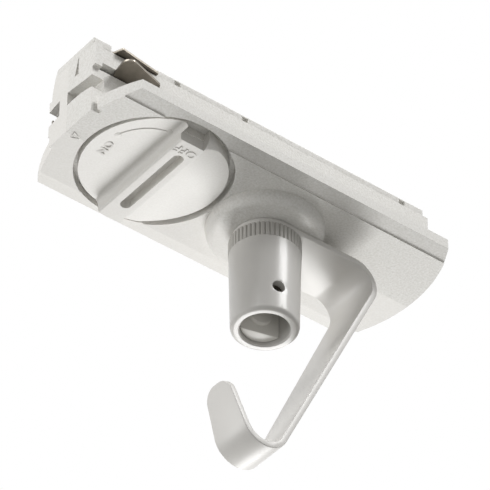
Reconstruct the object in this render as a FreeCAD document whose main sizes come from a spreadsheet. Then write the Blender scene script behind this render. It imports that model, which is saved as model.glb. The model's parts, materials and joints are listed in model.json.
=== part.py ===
import FreeCAD, Part
import Sketcher
import math
import os

# Track light adapter: split housing with a flange, rotary dial, swinging contacts,
# threaded stem with nozzle, and a bent strap hook.
# Frame: origin on the flange's seat plane at its middle, +Z up into the track,
# -Y the side with the two contacts, +X the end over which the hook's arm reaches.

doc = FreeCAD.newDocument("TrackLightAdapter")
sheet = doc.addObject("Spreadsheet::Sheet", "Sizes")

SIZES = [
    # Flange under the track
    ("flange_half_width", 18.0),
    ("flange_corner_x", 39.9),
    ("flange_bulge", 4.85),
    ("flange_depth", 3.2),
    ("flange_flat_half", 14.5),
    ("flange_step", 0.3),
    ("flange_edge_depth", 2.4),
    ("nib_x", -6.55),
    ("nib_half_length", 1.85),
    ("nib_height", 0.55),
    ("nib_inset", 0.5),
    ("nib_thickness", 1.0),
    # Insert that goes into the track
    ("insert_half_width", 7.6),
    ("insert_left", 44.8),
    ("insert_right", 43.5),
    ("seam_height", 15.0),
    ("key_start", 9.0),
    ("key_step", 0.85),
    ("key_radius", 19.5),
    ("split_y", 1.3),
    ("wall", 1.3),
    ("end_wall", 1.2),
    ("floor_height", 0.6),
    # End block at the left end
    ("block_inset", 0.4),
    ("block_length", 2.1),
    ("block_notch", 0.9),
    ("block_solid", 3.7),
    ("window_low", 2.55),
    ("window_low_far", 4.0),
    ("window_high", 6.3),
    ("window_high_far", 7.5),
    ("window_depth", 2.9),
    ("window_arch", 20.0),
    ("slit_depth", 1.0),
    ("slit_left", -1.0),
    ("slit_right", -2.25),
    ("slit_low", 10.2),
    ("slit_high", 14.7),
    ("peep_low", 3.1),
    ("peep_high", 7.2),
    ("peep_near", 4.0),
    ("peep_slope", 0.8),
    # Blade recess and slots in the near wall
    ("pad_proud", 0.65),
    ("recess_right", -29.0),
    ("blade_play", 0.22),
    ("slot_left", -43.1),
    # Lid
    ("lid_thickness", 2.0),
    ("lid_right", 42.3),
    ("lid_round", 0.5),
    ("lid_inset", 0.2),
    ("lid_gap_left", -40.4),
    ("lid_gap_right", -28.5),
    ("lid_gap_depth", 1.3),
    ("lid_lip", 0.7),
    ("lid_lip_start", 16.0),
    ("lid_notch_width", 1.5),
    ("lid_notch_depth", 0.7),
    ("lid_notch_height", 1.4),
    ("lid_notch_first", -23.5),
    ("lid_notch_second", -5.8),
    ("lid_notch_third", 36.5),
    # Dial
    ("dial_x", -23.5),
    ("recess_radius", 16.6),
    ("recess_floor", 0.8),
    ("dial_gap", 1.0),
    ("dial_back_play", 0.1),
    ("dial_rim_depth", 3.3),
    ("dial_foot_depth", 2.3),
    ("dial_foot_round", 1.1),
    ("dial_edge_round", 0.5),
    ("grip_half_width", 2.9),
    ("grip_depth", 5.0),
    ("grip_near_end", 12.9),
    ("pit_depth", 2.6),
    ("pit_ledge", 0.3),
    ("crown_radius", 15.3),
    ("crown_depth", 2.9),
    ("crown_hollow", 33.0),
    ("crown_edge", 2.2),
    ("slot_half_width", 1.25),
    ("slot_near", 8.8),
    ("slot_far", 11.2),
    ("slot_deep", 2.2),
    ("slot_shift", 0.35),
    ("hub_radius", 4.4),
    ("hub_top", 5.6),
    ("hub_flat", 3.9),
    ("bearing_play", 0.05),
    ("clip_thickness", 0.6),
    ("clip_width", 1.9),
    ("clip_groove", 0.6),
    ("clip_play", 0.08),
    ("detent_thickness", 0.4),
    ("detent_half_length", 5.0),
    ("detent_foot", 2.2),
    ("detent_low", 2.0),
    ("detent_high", 4.6),
    ("detent_play", 0.12),
    # Contacts and their swing
    ("pivot_x", -12.0),
    ("pivot_y", 1.6),
    ("post_radius", 1.25),
    ("carrier_wall", 0.9),
    ("ring_width", 0.7),
    ("swing_angle", 12.5),
    ("dial_angle", 90.0),
    ("pin_radius", 1.0),
    ("pin_play", 0.12),
    ("carrier_low", 6.0),
    ("arm_end", 34.0),
    ("arm_far", 0.6),
    ("arm_heel", 4.6),
    ("arm_step", 2.5),
    ("stake_x", 31.5),
    ("stake_y", 3.0),
    ("spacer_right", 16.5),
    ("blade_width", 10.8),
    ("blade_reach", 5.6),
    ("neutral_height", 9.0),
    ("live_height", 14.2),
    ("blade_thickness", 0.6),
    ("stake_radius", 0.8),
    ("stake_play", 0.05),
    ("strip_thickness", 0.5),
    ("strip_width", 2.6),
    ("strip_play", 0.15),
    # Earth spring on the far side
    ("earth_low", 1.5),
    ("earth_high", 4.9),
    ("earth_bulge", 1.8),
    ("earth_opening_right", -30.6),
    ("earth_crest", 6.0),
    ("earth_opening_rim", 0.7),
    ("earth_opening_high", 6.3),
    ("earth_opening_low", 1.0),
    ("earth_strip_play", 0.1),
    # Terminals
    ("terminal_start", 23.0),
    ("terminal_length", 7.0),
    ("terminal_width", 3.8),
    ("terminal_height", 4.8),
    ("terminal_rest", 7.5),
    ("terminal_bore", 1.3),
    ("terminal_screw_radius", 1.4),
    ("terminal_screw_proud", 0.6),
    ("screw_play", 0.05),
    ("base_wall", 1.2),
    ("base_play", 0.1),
    ("earth_terminal_start", 13.2),
    ("earth_terminal_length", 6.4),
    ("earth_terminal_width", 5.0),
    ("earth_terminal_height", 6.0),
    # Housing screws
    ("screw_left_x", -4.2),
    ("screw_left_height", 7.05),
    ("screw_right_x", 37.6),
    ("screw_right_height", 7.05),
    ("screw_post_radius", 2.1),
    ("screw_radius", 1.0),
    ("screw_head_radius", 1.8),
    ("screw_head_height", 1.3),
    ("screw_end_cover", 1.6),
    # Boss, stem, nut and washer
    ("stem_x", 5.3),
    ("boss_radius", 12.4),
    ("boss_depth", 6.15),
    ("boss_round", 1.9),
    ("stem_radius", 5.0),
    ("stem_bore", 3.4),
    ("stem_top", 6.8),
    ("thread_play", 0.05),
    ("tag_thickness", 0.5),
    ("washer_thickness", 0.8),
    ("washer_radius", 6.0),
    ("nut_flat_half", 6.1),
    ("nut_height", 3.6),
    # Hook
    ("hook_thickness", 1.4),
    ("hook_play", 0.05),
    ("hook_half_width", 7.03),
    ("hook_eye_play", 0.1),
    ("hook_flat_length", 18.43),
    ("hook_bend_radius", 5.07),
    ("hook_bend_angle", 115.0),
    ("hook_arm_length", 51.4),
    ("hook_foot_radius", 5.17),
    ("hook_foot_angle", 135.0),
    ("hook_tip_length", 10.5),
    ("hook_low_half_width", 4.68),
    ("hook_tip_half_width", 3.5),
    # Knurled ring and nozzle
    ("ring_radius", 7.66),
    ("ring_height", 3.6),
    ("ring_ribs", 48),
    ("ring_rib_depth", 0.35),
    ("nozzle_top_radius", 7.6),
    ("nozzle_low_radius", 7.15),
    ("nozzle_length", 19.2),
    ("nozzle_thread_length", 7.0),
    ("nozzle_chamber_radius", 5.2),
    ("nozzle_rim_round", 0.9),
    ("stem_reach", 6.0),
    ("side_hole_radius", 1.4),
    ("side_hole_drop", 13.1),
    ("side_hole_angle", 15.0),
    ("grub_radius", 1.35),
    ("grub_tip", 3.3),
    ("grub_sink", 1.5),
    ("grub_socket", 0.75),
    ("grub_socket_depth", 1.2),
    ("clamp_play", 0.1),
    ("clamp_face", 2.7),
    ("clamp_top_gap", 0.4),
    ("clamp_near_length", 10.4),
    ("clamp_far_length", 10.9),
    ("clamp_pad_radius", 2.6),
    ("clamp_pad_height", 0.8),
]

for row, (alias, number) in enumerate(SIZES, start=1):
    sheet.set("A%d" % row, alias)
    sheet.set("B%d" % row, str(number))
    sheet.setAlias("B%d" % row, alias)
doc.recompute()


# A length that carries its value together with the sheet formula behind it


class Length:
    def __init__(self, value, formula):
        self.value = value
        self.formula = formula

    def join(self, other, sign, value):
        return Length(value, "(" + self.formula + " " + sign + " " + other.formula + ")")

    def __add__(self, other):
        other = as_length(other)
        return self.join(other, "+", self.value + other.value)

    def __radd__(self, other):
        return as_length(other) + self

    def __sub__(self, other):
        other = as_length(other)
        return self.join(other, "-", self.value - other.value)

    def __rsub__(self, other):
        return as_length(other) - self

    def __mul__(self, other):
        other = as_length(other)
        return self.join(other, "*", self.value * other.value)

    def __rmul__(self, other):
        return as_length(other) * self

    def __truediv__(self, other):
        other = as_length(other)
        return self.join(other, "/", self.value / other.value)

    def __neg__(self):
        return Length(-self.value, "(0 - " + self.formula + ")")


def as_length(number):
    if isinstance(number, Length):
        return number
    if number < 0:
        return Length(float(number), "(0 - " + repr(abs(number)) + ")")
    return Length(float(number), repr(number))


def size(alias):
    return Length(float(getattr(sheet, alias)), "Sizes." + alias)


def root(length):
    length = as_length(length)
    return Length(math.sqrt(max(0.0, length.value)), "sqrt(" + length.formula + ")")


def sine(degrees):
    degrees = as_length(degrees)
    return Length(math.sin(math.radians(degrees.value)), "sin(" + degrees.formula + ")")


def cosine(degrees):
    degrees = as_length(degrees)
    return Length(math.cos(math.radians(degrees.value)), "cos(" + degrees.formula + ")")


def arc_angle(ratio):
    ratio = as_length(ratio)
    return Length(math.degrees(math.acos(ratio.value)), "acos(" + ratio.formula + ")")


def tied(length):
    return "Sizes." in length.formula


# Sketches, pads and pockets on a body's own origin planes


def new_body(label):
    body = doc.addObject("PartDesign::Body", label)
    body.Label = label
    return body


def new_sketch(body, name, plane, offset):
    sketch = body.newObject("Sketcher::SketchObject", name)
    role = plane + "_Plane"
    support = [item for item in body.Origin.OriginFeatures if item.Role == role][0]
    sketch.AttachmentSupport = [(support, "")]
    sketch.MapMode = "FlatFace"
    offset = as_length(offset)
    if tied(offset):
        sketch.setExpression(".AttachmentOffset.Base.z", offset.formula)
    else:
        sketch.AttachmentOffset = FreeCAD.Placement(FreeCAD.Vector(0, 0, offset.value), FreeCAD.Rotation())
    return sketch


def hold(sketch, kind, geometry, corner, length):
    length = as_length(length)
    if not tied(length) and length.value == 0.0:
        axis = -2 if kind == "DistanceX" else -1
        sketch.addConstraint(Sketcher.Constraint("PointOnObject", geometry, corner, axis))
        return
    number = sketch.addConstraint(Sketcher.Constraint(kind, -1, 1, geometry, corner, length.value))
    if tied(length):
        sketch.setExpression("Constraints[%d]" % number, length.formula)


def add_circle(sketch, loop):
    x, y, radius = [as_length(item) for item in loop[1:]]
    centre = FreeCAD.Vector(x.value, y.value, 0)
    circle = Part.Circle(centre, FreeCAD.Vector(0, 0, 1), radius.value)
    number = sketch.addGeometry(circle, False)
    hold(sketch, "DistanceX", number, 3, x)
    hold(sketch, "DistanceY", number, 3, y)
    limit = sketch.addConstraint(Sketcher.Constraint("Radius", number, radius.value))
    if tied(radius):
        sketch.setExpression("Constraints[%d]" % limit, radius.formula)


def arc_between(start, end, radius):
    along = end - start
    half = along.Length / 2
    left = FreeCAD.Vector(-along.y, along.x, 0)
    left.normalize()
    side = 1 if radius > 0 else -1
    drop = math.sqrt(max(0.0, radius * radius - half * half))
    centre = (start + end) * 0.5 + left * (side * drop)
    first, last = (start, end) if radius > 0 else (end, start)
    angle_first = math.atan2(first.y - centre.y, first.x - centre.x)
    angle_last = math.atan2(last.y - centre.y, last.x - centre.x)
    if angle_last < angle_first:
        angle_last += 2 * math.pi
    circle = Part.Circle(centre, FreeCAD.Vector(0, 0, 1), abs(radius))
    return Part.ArcOfCircle(circle, angle_first, angle_last)


# A loop is a list of corners (x, y) or (x, y, radius): with a radius, the edge to the
# next corner is an arc, positive when its centre lies to the left of the way


def add_loop(sketch, loop):
    if loop[0] == "circle":
        add_circle(sketch, loop)
        return
    points = [FreeCAD.Vector(as_length(item[0]).value, as_length(item[1]).value, 0) for item in loop]
    numbers = []
    starts = []
    ends = []
    for index, corner in enumerate(loop):
        start = points[index]
        end = points[(index + 1) % len(points)]
        if len(corner) == 3:
            radius = as_length(corner[2])
            numbers.append(sketch.addGeometry(arc_between(start, end, radius.value), False))
            starts.append(1 if radius.value > 0 else 2)
            ends.append(2 if radius.value > 0 else 1)
        else:
            numbers.append(sketch.addGeometry(Part.LineSegment(start, end), False))
            starts.append(1)
            ends.append(2)
    for index, number in enumerate(numbers):
        after = (index + 1) % len(numbers)
        link = Sketcher.Constraint("Coincident", number, ends[index], numbers[after], starts[after])
        sketch.addConstraint(link)
    for index, corner in enumerate(loop):
        hold(sketch, "DistanceX", numbers[index], starts[index], corner[0])
        hold(sketch, "DistanceY", numbers[index], starts[index], corner[1])
        if len(corner) == 3:
            radius = as_length(corner[2])
            bend = Sketcher.Constraint("Radius", numbers[index], abs(radius.value))
            limit = sketch.addConstraint(bend)
            if tied(radius):
                formula = radius.formula if radius.value > 0 else "(0 - " + radius.formula + ")"
                sketch.setExpression("Constraints[%d]" % limit, formula)


def extrude(body, name, plane, low, high, loops, cut=False):
    low = as_length(low)
    high = as_length(high)
    start = low if not cut else high
    if plane == "XZ":
        start = -high if not cut else -low
    sketch = new_sketch(body, name + "_sketch", plane, start)
    for loop in loops:
        add_loop(sketch, loop)
    before = 0.0
    if cut:
        doc.recompute()
        before = body.Shape.Volume
    kind = "PartDesign::Pocket" if cut else "PartDesign::Pad"
    feature = body.newObject(kind, name)
    feature.Profile = sketch
    feature.Type = "Length"
    feature.setExpression("Length", (high - low).formula)
    if cut:
        doc.recompute()
        if body.Shape.Volume >= before - 1e-6:
            raise RuntimeError(name + " takes nothing away")
    return feature


def revolve(body, name, loop, axis_x=0, sweep=None):
    sketch = new_sketch(body, name + "_sketch", "XZ", 0)
    if as_length(axis_x).value:
        sketch.setExpression(".AttachmentOffset.Base.x", as_length(axis_x).formula)
    add_loop(sketch, loop)
    kind = "PartDesign::Groove" if sweep is not None else "PartDesign::Revolution"
    feature = body.newObject(kind, name)
    feature.Profile = sketch
    feature.ReferenceAxis = (sketch, ["V_Axis"])
    feature.Angle = 360.0
    if sweep is not None:
        feature.Midplane = True
        feature.setExpression("Angle", sweep.formula)
    return feature


# Corners of a quarter round drawn as straight steps, from its flat side to its wall


def quarter_round(wall_x, flat_z, radius, steps):
    corners = []
    for step in range(steps + 1):
        angle = math.pi / 2 * step / steps
        across = radius * round(1 - math.sin(angle), 9)
        along = radius * round(1 - math.cos(angle), 9)
        corners.append((wall_x - across, flat_z + along))
    return corners


def round_edges(body, name, radius, chooser):
    doc.recompute()
    tip = body.Tip
    edges = tip.Shape.Edges
    names = ["Edge%d" % (index + 1) for index, edge in enumerate(edges) if chooser(edge)]
    if not names:
        raise RuntimeError(name + " finds no edge")
    feature = body.newObject("PartDesign::Fillet", name)
    feature.Base = (tip, names)
    feature.setExpression("Radius", as_length(radius).formula)
    return feature


def rectangle(left, low, right, high):
    return [(left, low), (right, low), (right, high), (left, high)]


def place(item, x=0, y=0, z=0):
    for axis, length in (("x", x), ("y", y), ("z", z)):
        length = as_length(length)
        if tied(length):
            item.setExpression(".Placement.Base." + axis, length.formula)
        elif length.value:
            item.setExpression(".Placement.Base." + axis, repr(length.value))


def block(label, x, y, z, length, width, height):
    item = doc.addObject("Part::Box", label)
    item.Label = label
    item.setExpression("Length", as_length(length).formula)
    item.setExpression("Width", as_length(width).formula)
    item.setExpression("Height", as_length(height).formula)
    place(item, x, y, z)
    return item


def combine(kind, label, base, tool):
    item = doc.addObject(kind, label)
    item.Label = label
    item.Base = base
    item.Tool = tool
    return item


# Lengths that several pieces share

half_width = size("insert_half_width")
wall = size("wall")
inner_half = half_width - wall
seam = size("seam_height")
floor = size("floor_height")
left_end = -size("insert_left")
right_end = size("insert_right")
cavity_left = left_end + size("block_solid")
blade_room_left = left_end + size("end_wall")
cavity_right = right_end - size("end_wall")
flange_half = size("flange_half_width")
flange_low = -size("flange_depth")
flange_end = size("flange_corner_x") + size("flange_bulge")
lid_top = seam + size("lid_thickness")
dial_x = size("dial_x")
stem_x = size("stem_x")
boss_low = -size("boss_depth")
pivot_x = size("pivot_x")
pivot_y = size("pivot_y")
neutral_z = size("neutral_height")
live_z = size("live_height")
blade = size("blade_thickness")
blade_play = size("blade_play")
key_start = size("key_start")
key_radius = size("key_radius")
key_face = half_width - size("key_step")
split_y = size("split_y")
post_radius = size("post_radius")
play = size("bearing_play")


def key_edge(height, inset):
    reach = height - key_start
    radius = key_radius - inset
    return key_face - key_radius + root(radius * radius - reach * reach)


# Housing: flange, insert, end block and boss in one, split lengthwise further down

bulge = size("flange_bulge")
end_radius = (bulge * bulge + flange_half * flange_half) / (bulge * 2)
corner_x = size("flange_corner_x")
housing = new_body("housing")
flange_outline = [
    (-corner_x, -flange_half),
    (corner_x, -flange_half, end_radius),
    (corner_x, flange_half),
    (-corner_x, flange_half, end_radius),
]
extrude(housing, "flange", "XY", flange_low, 0, [flange_outline])
boss_radius = size("boss_radius")
boss_section = [(0, flange_low + 1), (0, boss_low)]
boss_section += quarter_round(boss_radius, boss_low, size("boss_round"), 3)
boss_section.append((boss_radius, flange_low + 1))
revolve(housing, "boss", boss_section, stem_x)

insert_outline = [
    (-half_width, -0.4),
    (half_width, -0.4),
    (half_width, key_start),
    (key_face, key_start, key_radius),
    (key_edge(seam, 0), seam),
    (-half_width, seam),
]
extrude(housing, "insert", "YZ", left_end, right_end, [insert_outline])
block_face = half_width - size("block_inset")
block_outline = rectangle(left_end, -block_face, left_end + 4, block_face)
extrude(housing, "end_block", "XY", flange_low, 0.5, [block_outline])

# Shallow shelf along both long edges of the underside

shelf = size("flange_flat_half")
shelf_far = [
    (shelf, flange_low - 1),
    (flange_half + 1, flange_low - 1),
    (flange_half + 1, -size("flange_edge_depth")),
    (flange_half, -size("flange_edge_depth")),
    (shelf, flange_low + size("flange_step")),
]
shelf_near = [(-corner[0], corner[1]) for corner in shelf_far]
extrude(housing, "shelf", "YZ", -flange_end - 1, flange_end + 1, [shelf_far, shelf_near], cut=True)

# Round recess for the dial, its bearing bore, and the bore for the stem

recess_radius = size("recess_radius")
recess_floor = -size("recess_floor")
dial_recess = ("circle", dial_x, 0, recess_radius)
extrude(housing, "dial_recess", "XY", boss_low - 1, recess_floor, [dial_recess], cut=True)
bearing = ("circle", dial_x, 0, size("hub_radius") + play)
stem_radius = size("stem_radius")
thread_play = size("thread_play")
stem_hole = ("circle", stem_x, 0, stem_radius + thread_play)
extrude(housing, "bores", "XY", boss_low - 1, floor + 1, [bearing, stem_hole], cut=True)

# Inside of the insert

key_floor = key_start - wall
cavity_outline = [
    (-inner_half, floor),
    (inner_half, floor),
    (inner_half, key_floor),
    (key_face - wall, key_floor),
    (key_face - wall, key_start, key_radius - wall),
    (key_edge(seam, wall), seam),
    (key_edge(seam, wall), seam + 1),
    (-inner_half, seam + 1),
]
extrude(housing, "cavity", "YZ", cavity_left, cavity_right, [cavity_outline], cut=True)
pad_low = neutral_z - blade_play
blade_room = [
    (-inner_half, pad_low - 0.1),
    (key_face - wall, pad_low - 0.1),
    (key_face - wall, key_start, key_radius - wall),
    (key_edge(seam, wall), seam),
    (key_edge(seam, wall), seam + 1),
    (-inner_half, seam + 1),
]
extrude(housing, "blade_room", "YZ", blade_room_left, cavity_left + 0.5, [blade_room], cut=True)

post_outline = ("circle", pivot_x, pivot_y, post_radius)
extrude(housing, "pivot_post", "XY", floor - 0.3, seam - blade_play, [post_outline])
screw_spots = [
    (size("screw_left_x"), size("screw_left_height")),
    (size("screw_right_x"), size("screw_right_height")),
]
post_near = -half_width + wall / 2
post_far = inner_half + 0.1
screw_posts = [("circle", spot[0], spot[1], size("screw_post_radius")) for spot in screw_spots]
extrude(housing, "screw_posts", "XZ", post_near, post_far, screw_posts)
screw_tip = -half_width + size("screw_end_cover")
screw_play = size("screw_play")
screw_head_face = half_width - size("screw_head_height")
screw_holes = [("circle", spot[0], spot[1], size("screw_radius") + screw_play) for spot in screw_spots]
extrude(housing, "screw_holes", "XZ", screw_tip, half_width + 1, screw_holes, cut=True)
head_holes = [("circle", spot[0], spot[1], size("screw_head_radius") + 0.1) for spot in screw_spots]
extrude(housing, "screw_head_seats", "XZ", screw_head_face, half_width + 1, head_holes, cut=True)

# Raised pad with the two blade slots on the near wall, and the wall set back below it

recess_right = size("recess_right")
pad_face = -half_width - size("pad_proud")
pad_outline = rectangle(left_end, pad_low, recess_right, seam)
extrude(housing, "blade_pad", "XZ", pad_face, -inner_half - 0.3, [pad_outline])
recess_outline = rectangle(left_end - 1, 0, recess_right, pad_low)
extrude(housing, "wall_recess", "XZ", -half_width - 1, -block_face, [recess_outline], cut=True)
slots = [
    rectangle(size("slot_left"), pad_low, recess_right, neutral_z + blade + blade_play),
    rectangle(size("slot_left"), live_z - blade_play, recess_right, seam + 1),
]
extrude(housing, "blade_slots", "XZ", pad_face - 1, -inner_half + 0.2, slots, cut=True)

# End face: window on the near side, upright slit, small window and earth opening

window_right = left_end + size("window_depth")
window = [
    (-half_width - 1, size("window_low"), -size("window_arch")),
    (split_y, size("window_low_far")),
    (split_y, size("window_high_far")),
    (-half_width - 1, size("window_high")),
]
extrude(housing, "end_window", "YZ", left_end - 1, window_right, [window], cut=True)
notch_right = left_end + size("block_length")
block_notch = rectangle(left_end - 1, -block_face - size("block_notch"), notch_right, -block_face)
extrude(housing, "block_notch", "XY", flange_low - 0.5, 0.01, [block_notch], cut=True)
peep_near = size("peep_near")
peep = [
    (peep_near, size("peep_low")),
    (half_width + 1, size("peep_low") - size("peep_slope")),
    (half_width + 1, size("peep_high") - size("peep_slope") * 1.3),
    (peep_near, size("peep_high")),
]
extrude(housing, "peep_window", "YZ", left_end - 1, blade_room_left + 0.5, [peep], cut=True)
earth_left = left_end + size("earth_opening_rim")
earth_right = size("earth_opening_right")
earth_opening = rectangle(earth_left, size("earth_opening_low"), earth_right, size("earth_opening_high"))
extrude(housing, "earth_opening", "XZ", peep_near, half_width + 1, [earth_opening], cut=True)
end_slit = [
    (size("slit_right"), size("slit_low")),
    (size("slit_left"), size("slit_low")),
    (size("slit_right") + 0.15, size("slit_high")),
    (size("slit_right"), size("slit_high")),
]
extrude(housing, "end_slit", "YZ", left_end - 1, left_end + size("slit_depth"), [end_slit], cut=True)

# Nib on the near edge of the seat

nib_x = size("nib_x")
nib_half = size("nib_half_length")
nib_height = size("nib_height")
nib_radius = (nib_half * nib_half + nib_height * nib_height) / (nib_height * 2)
nib_outline = [
    (nib_x - nib_half, -0.2),
    (nib_x + nib_half, -0.2),
    (nib_x + nib_half, 0, nib_radius),
    (nib_x - nib_half, 0),
]
nib_near = -flange_half + size("nib_inset")
extrude(housing, "seat_nib", "XZ", nib_near, nib_near + size("nib_thickness"), [nib_outline])

# The two half shells meet on one lengthwise plane

around = flange_end * 2
near_side = block("near_side", -around, split_y - around, -around, around * 2, around, around * 2)
far_side = block("far_side", -around, split_y, -around, around * 2, around, around * 2)
near_shell = combine("Part::Common", "near_half_shell", housing, near_side)
far_shell = combine("Part::Common", "far_half_shell", housing, far_side)

# Lid over the insert

lid = new_body("top_lid")
lid_near = -half_width + size("lid_inset")
lid_outline = [
    (lid_near, seam),
    (key_edge(seam, 0), seam, key_radius),
    (key_edge(lid_top, 0), lid_top),
    (lid_near, lid_top),
]
extrude(lid, "lid_plate", "YZ", left_end, size("lid_right"), [lid_outline])


def lid_edge(edge):
    box = edge.BoundBox
    return box.ZMin > lid_top.value - 0.01


round_edges(lid, "lid_rounding", size("lid_round"), lid_edge)
notch_half = size("lid_notch_width") / 2
notch_high = seam + size("lid_notch_height")
notches = []
for alias in ("lid_notch_first", "lid_notch_second", "lid_notch_third"):
    middle = size(alias)
    notches.append(rectangle(middle - notch_half, seam - 1, middle + notch_half, notch_high))
notch_face = lid_near + size("lid_notch_depth")
extrude(lid, "lid_notches", "XZ", -half_width - 1, notch_face, notches, cut=True)
gap_face = lid_near + size("lid_gap_depth")
lid_gap = rectangle(size("lid_gap_left"), -half_width - 1, size("lid_gap_right"), gap_face)
extrude(lid, "lid_gap", "XY", seam - 1, lid_top + 1, [lid_gap], cut=True)
lip_far = key_edge(seam, wall) - size("base_play")
lip_outline = rectangle(
    size("lid_lip_start"), -inner_half + size("base_play"), cavity_right - size("base_play"), lip_far
)
extrude(lid, "lid_lip", "XY", seam - size("lid_lip"), seam + 0.5, [lip_outline])

# Dial: disc with two scoops, grip bar with slot and pit, hub with flats and drive pin

dial = new_body("dial")
dial_radius = recess_radius - size("dial_gap")
dial_back = recess_floor - size("dial_back_play")
rim_z = -size("dial_rim_depth")
foot_z = -size("dial_foot_depth")
foot_round = size("dial_foot_round")
grip_half = size("grip_half_width")
grip_z = -size("grip_depth")
crown_radius = size("crown_radius")
dial_section = [
    (-dial_radius - 1, dial_back),
    (-dial_radius - 1, rim_z),
    (-grip_half - foot_round, foot_z, -foot_round),
    (-grip_half, foot_z - foot_round),
    (-grip_half, grip_z),
    (grip_half, grip_z, -size("crown_hollow")),
    (crown_radius, -size("crown_depth")),
    (crown_radius + 1, -size("crown_depth")),
    (crown_radius + 1, dial_back),
]
extrude(dial, "dial_section", "XZ", -dial_radius - 1, dial_radius + 1, [dial_section])
outside = dial_radius + 3
trim = [rectangle(-outside, -outside, outside, outside), ("circle", 0, 0, dial_radius)]
extrude(dial, "dial_trim", "XY", grip_z - 1, 0, trim, cut=True)

# The crown right of the grip bar is a little smaller than the dial and has a round edge

crown_end = root(crown_radius * crown_radius - grip_half * grip_half)
crown_trim = [
    (grip_half, crown_end, -crown_radius),
    (grip_half, -crown_end),
    (grip_half, -outside),
    (outside, -outside),
    (outside, outside),
    (grip_half, outside),
]
extrude(dial, "crown_trim", "XY", grip_z - 1, 0, [crown_trim], cut=True)
crown_edge = size("crown_edge")
crown_cut = quarter_round(crown_radius, grip_z - 0.01, crown_edge, 3)
crown_cut = [(crown_radius + 1, grip_z - 1), (crown_cut[0][0], grip_z - 1)] + crown_cut
crown_cut.append((crown_radius + 1, crown_cut[-1][1]))
crown_sweep = arc_angle(grip_half / crown_radius) * 2
revolve(dial, "crown_rounding", crown_cut, 0, crown_sweep)
grip_end = -size("grip_near_end")
pit_low = -size("pit_depth")
pit = rectangle(-grip_half, -dial_radius - 1, grip_half, grip_end)
extrude(dial, "grip_pit", "XY", grip_z - 1, pit_low, [pit], cut=True)
pit_open = rectangle(-grip_half, -dial_radius - 1, grip_half, grip_end - size("pit_ledge"))
extrude(dial, "pit_opening", "XY", pit_low - 0.5, 0, [pit_open], cut=True)
slot_half = size("slot_half_width")
slot_near = -size("slot_near")
slot_far = size("slot_far")
slot_shift = size("slot_shift")
grip_slot = [
    (slot_shift - slot_half, slot_near + slot_half, slot_half),
    (slot_shift, slot_near, slot_half),
    (slot_shift + slot_half, slot_near + slot_half),
    (slot_shift + slot_half, slot_far - slot_half, slot_half),
    (slot_shift, slot_far, slot_half),
    (slot_shift - slot_half, slot_far - slot_half),
]
extrude(dial, "grip_slot", "XY", grip_z - 1, grip_z + size("slot_deep"), [grip_slot], cut=True)


def grip_end_edge(edge):
    box = edge.BoundBox
    level = box.ZMax - box.ZMin < 0.01 and abs(box.ZMin - grip_z.value) < 0.01
    return level and edge.CenterOfMass.x < -grip_half.value + 0.05


round_edges(dial, "grip_rounding", size("dial_edge_round"), grip_end_edge)
hub_radius = size("hub_radius")
hub_top = size("hub_top")
extrude(dial, "hub", "XY", dial_back - 0.3, hub_top, [("circle", 0, 0, hub_radius)])
clip_low = floor + size("clip_play")
clip_high = clip_low + size("clip_thickness")
groove = [("circle", 0, 0, hub_radius + 2), ("circle", 0, 0, hub_radius - size("clip_groove"))]
groove_low = clip_low - 0.04
groove_high = clip_high + 0.04
extrude(dial, "clip_groove", "XY", groove_low, groove_high, groove, cut=True)
hub_flat = size("hub_flat")
square = rectangle(-hub_flat, -hub_flat, hub_flat, hub_flat)
flats_low = groove_high + 0.3
flats = [("circle", 0, 0, hub_flat * 1.5), square]
extrude(dial, "hub_flats", "XY", flats_low, hub_top + 0.01, flats, cut=True)

# The drive pin's throw gives the carrier its swing for a quarter turn of the dial

half_swing = size("swing_angle") / 2
half_turn = size("dial_angle") / 2
axle_x = pivot_x - dial_x
axle_distance = root(axle_x * axle_x + pivot_y * pivot_y)
swing_slope = sine(half_swing) / cosine(half_swing)
throw = axle_distance * swing_slope / (sine(half_turn) - cosine(half_turn) * swing_slope)
axle_angle = Length(
    math.degrees(math.atan2(-pivot_y.value, dial_x.value - pivot_x.value)) % 360.0,
    "(180 + atan(" + (pivot_y / axle_x).formula + ") / 1 deg)",
)
pin_angle = axle_angle + half_turn
pin_x = throw * cosine(pin_angle)
pin_y = throw * sine(pin_angle)
pin_radius = size("pin_radius")
pin_top = neutral_z - 0.3
extrude(dial, "drive_pin", "XY", hub_top - 0.3, pin_top, [("circle", pin_x, pin_y, pin_radius)])
place(dial, dial_x)

# Spring clip in the hub's groove, and leaf spring that clicks on the hub's flats

clip = new_body("dial_clip")
clip_inner = hub_radius - size("clip_groove") + play
clip_outer = clip_inner + size("clip_width")
clip_loops = [("circle", 0, 0, clip_outer), ("circle", 0, 0, clip_inner)]
extrude(clip, "clip_ring", "XY", clip_low, clip_high, clip_loops)
clip_gap = rectangle(0, -clip_inner * 0.4, clip_outer + 1, clip_inner * 0.4)
extrude(clip, "clip_opening", "XY", clip_low - 1, clip_high + 1, [clip_gap], cut=True)
place(clip, dial_x)

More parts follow.
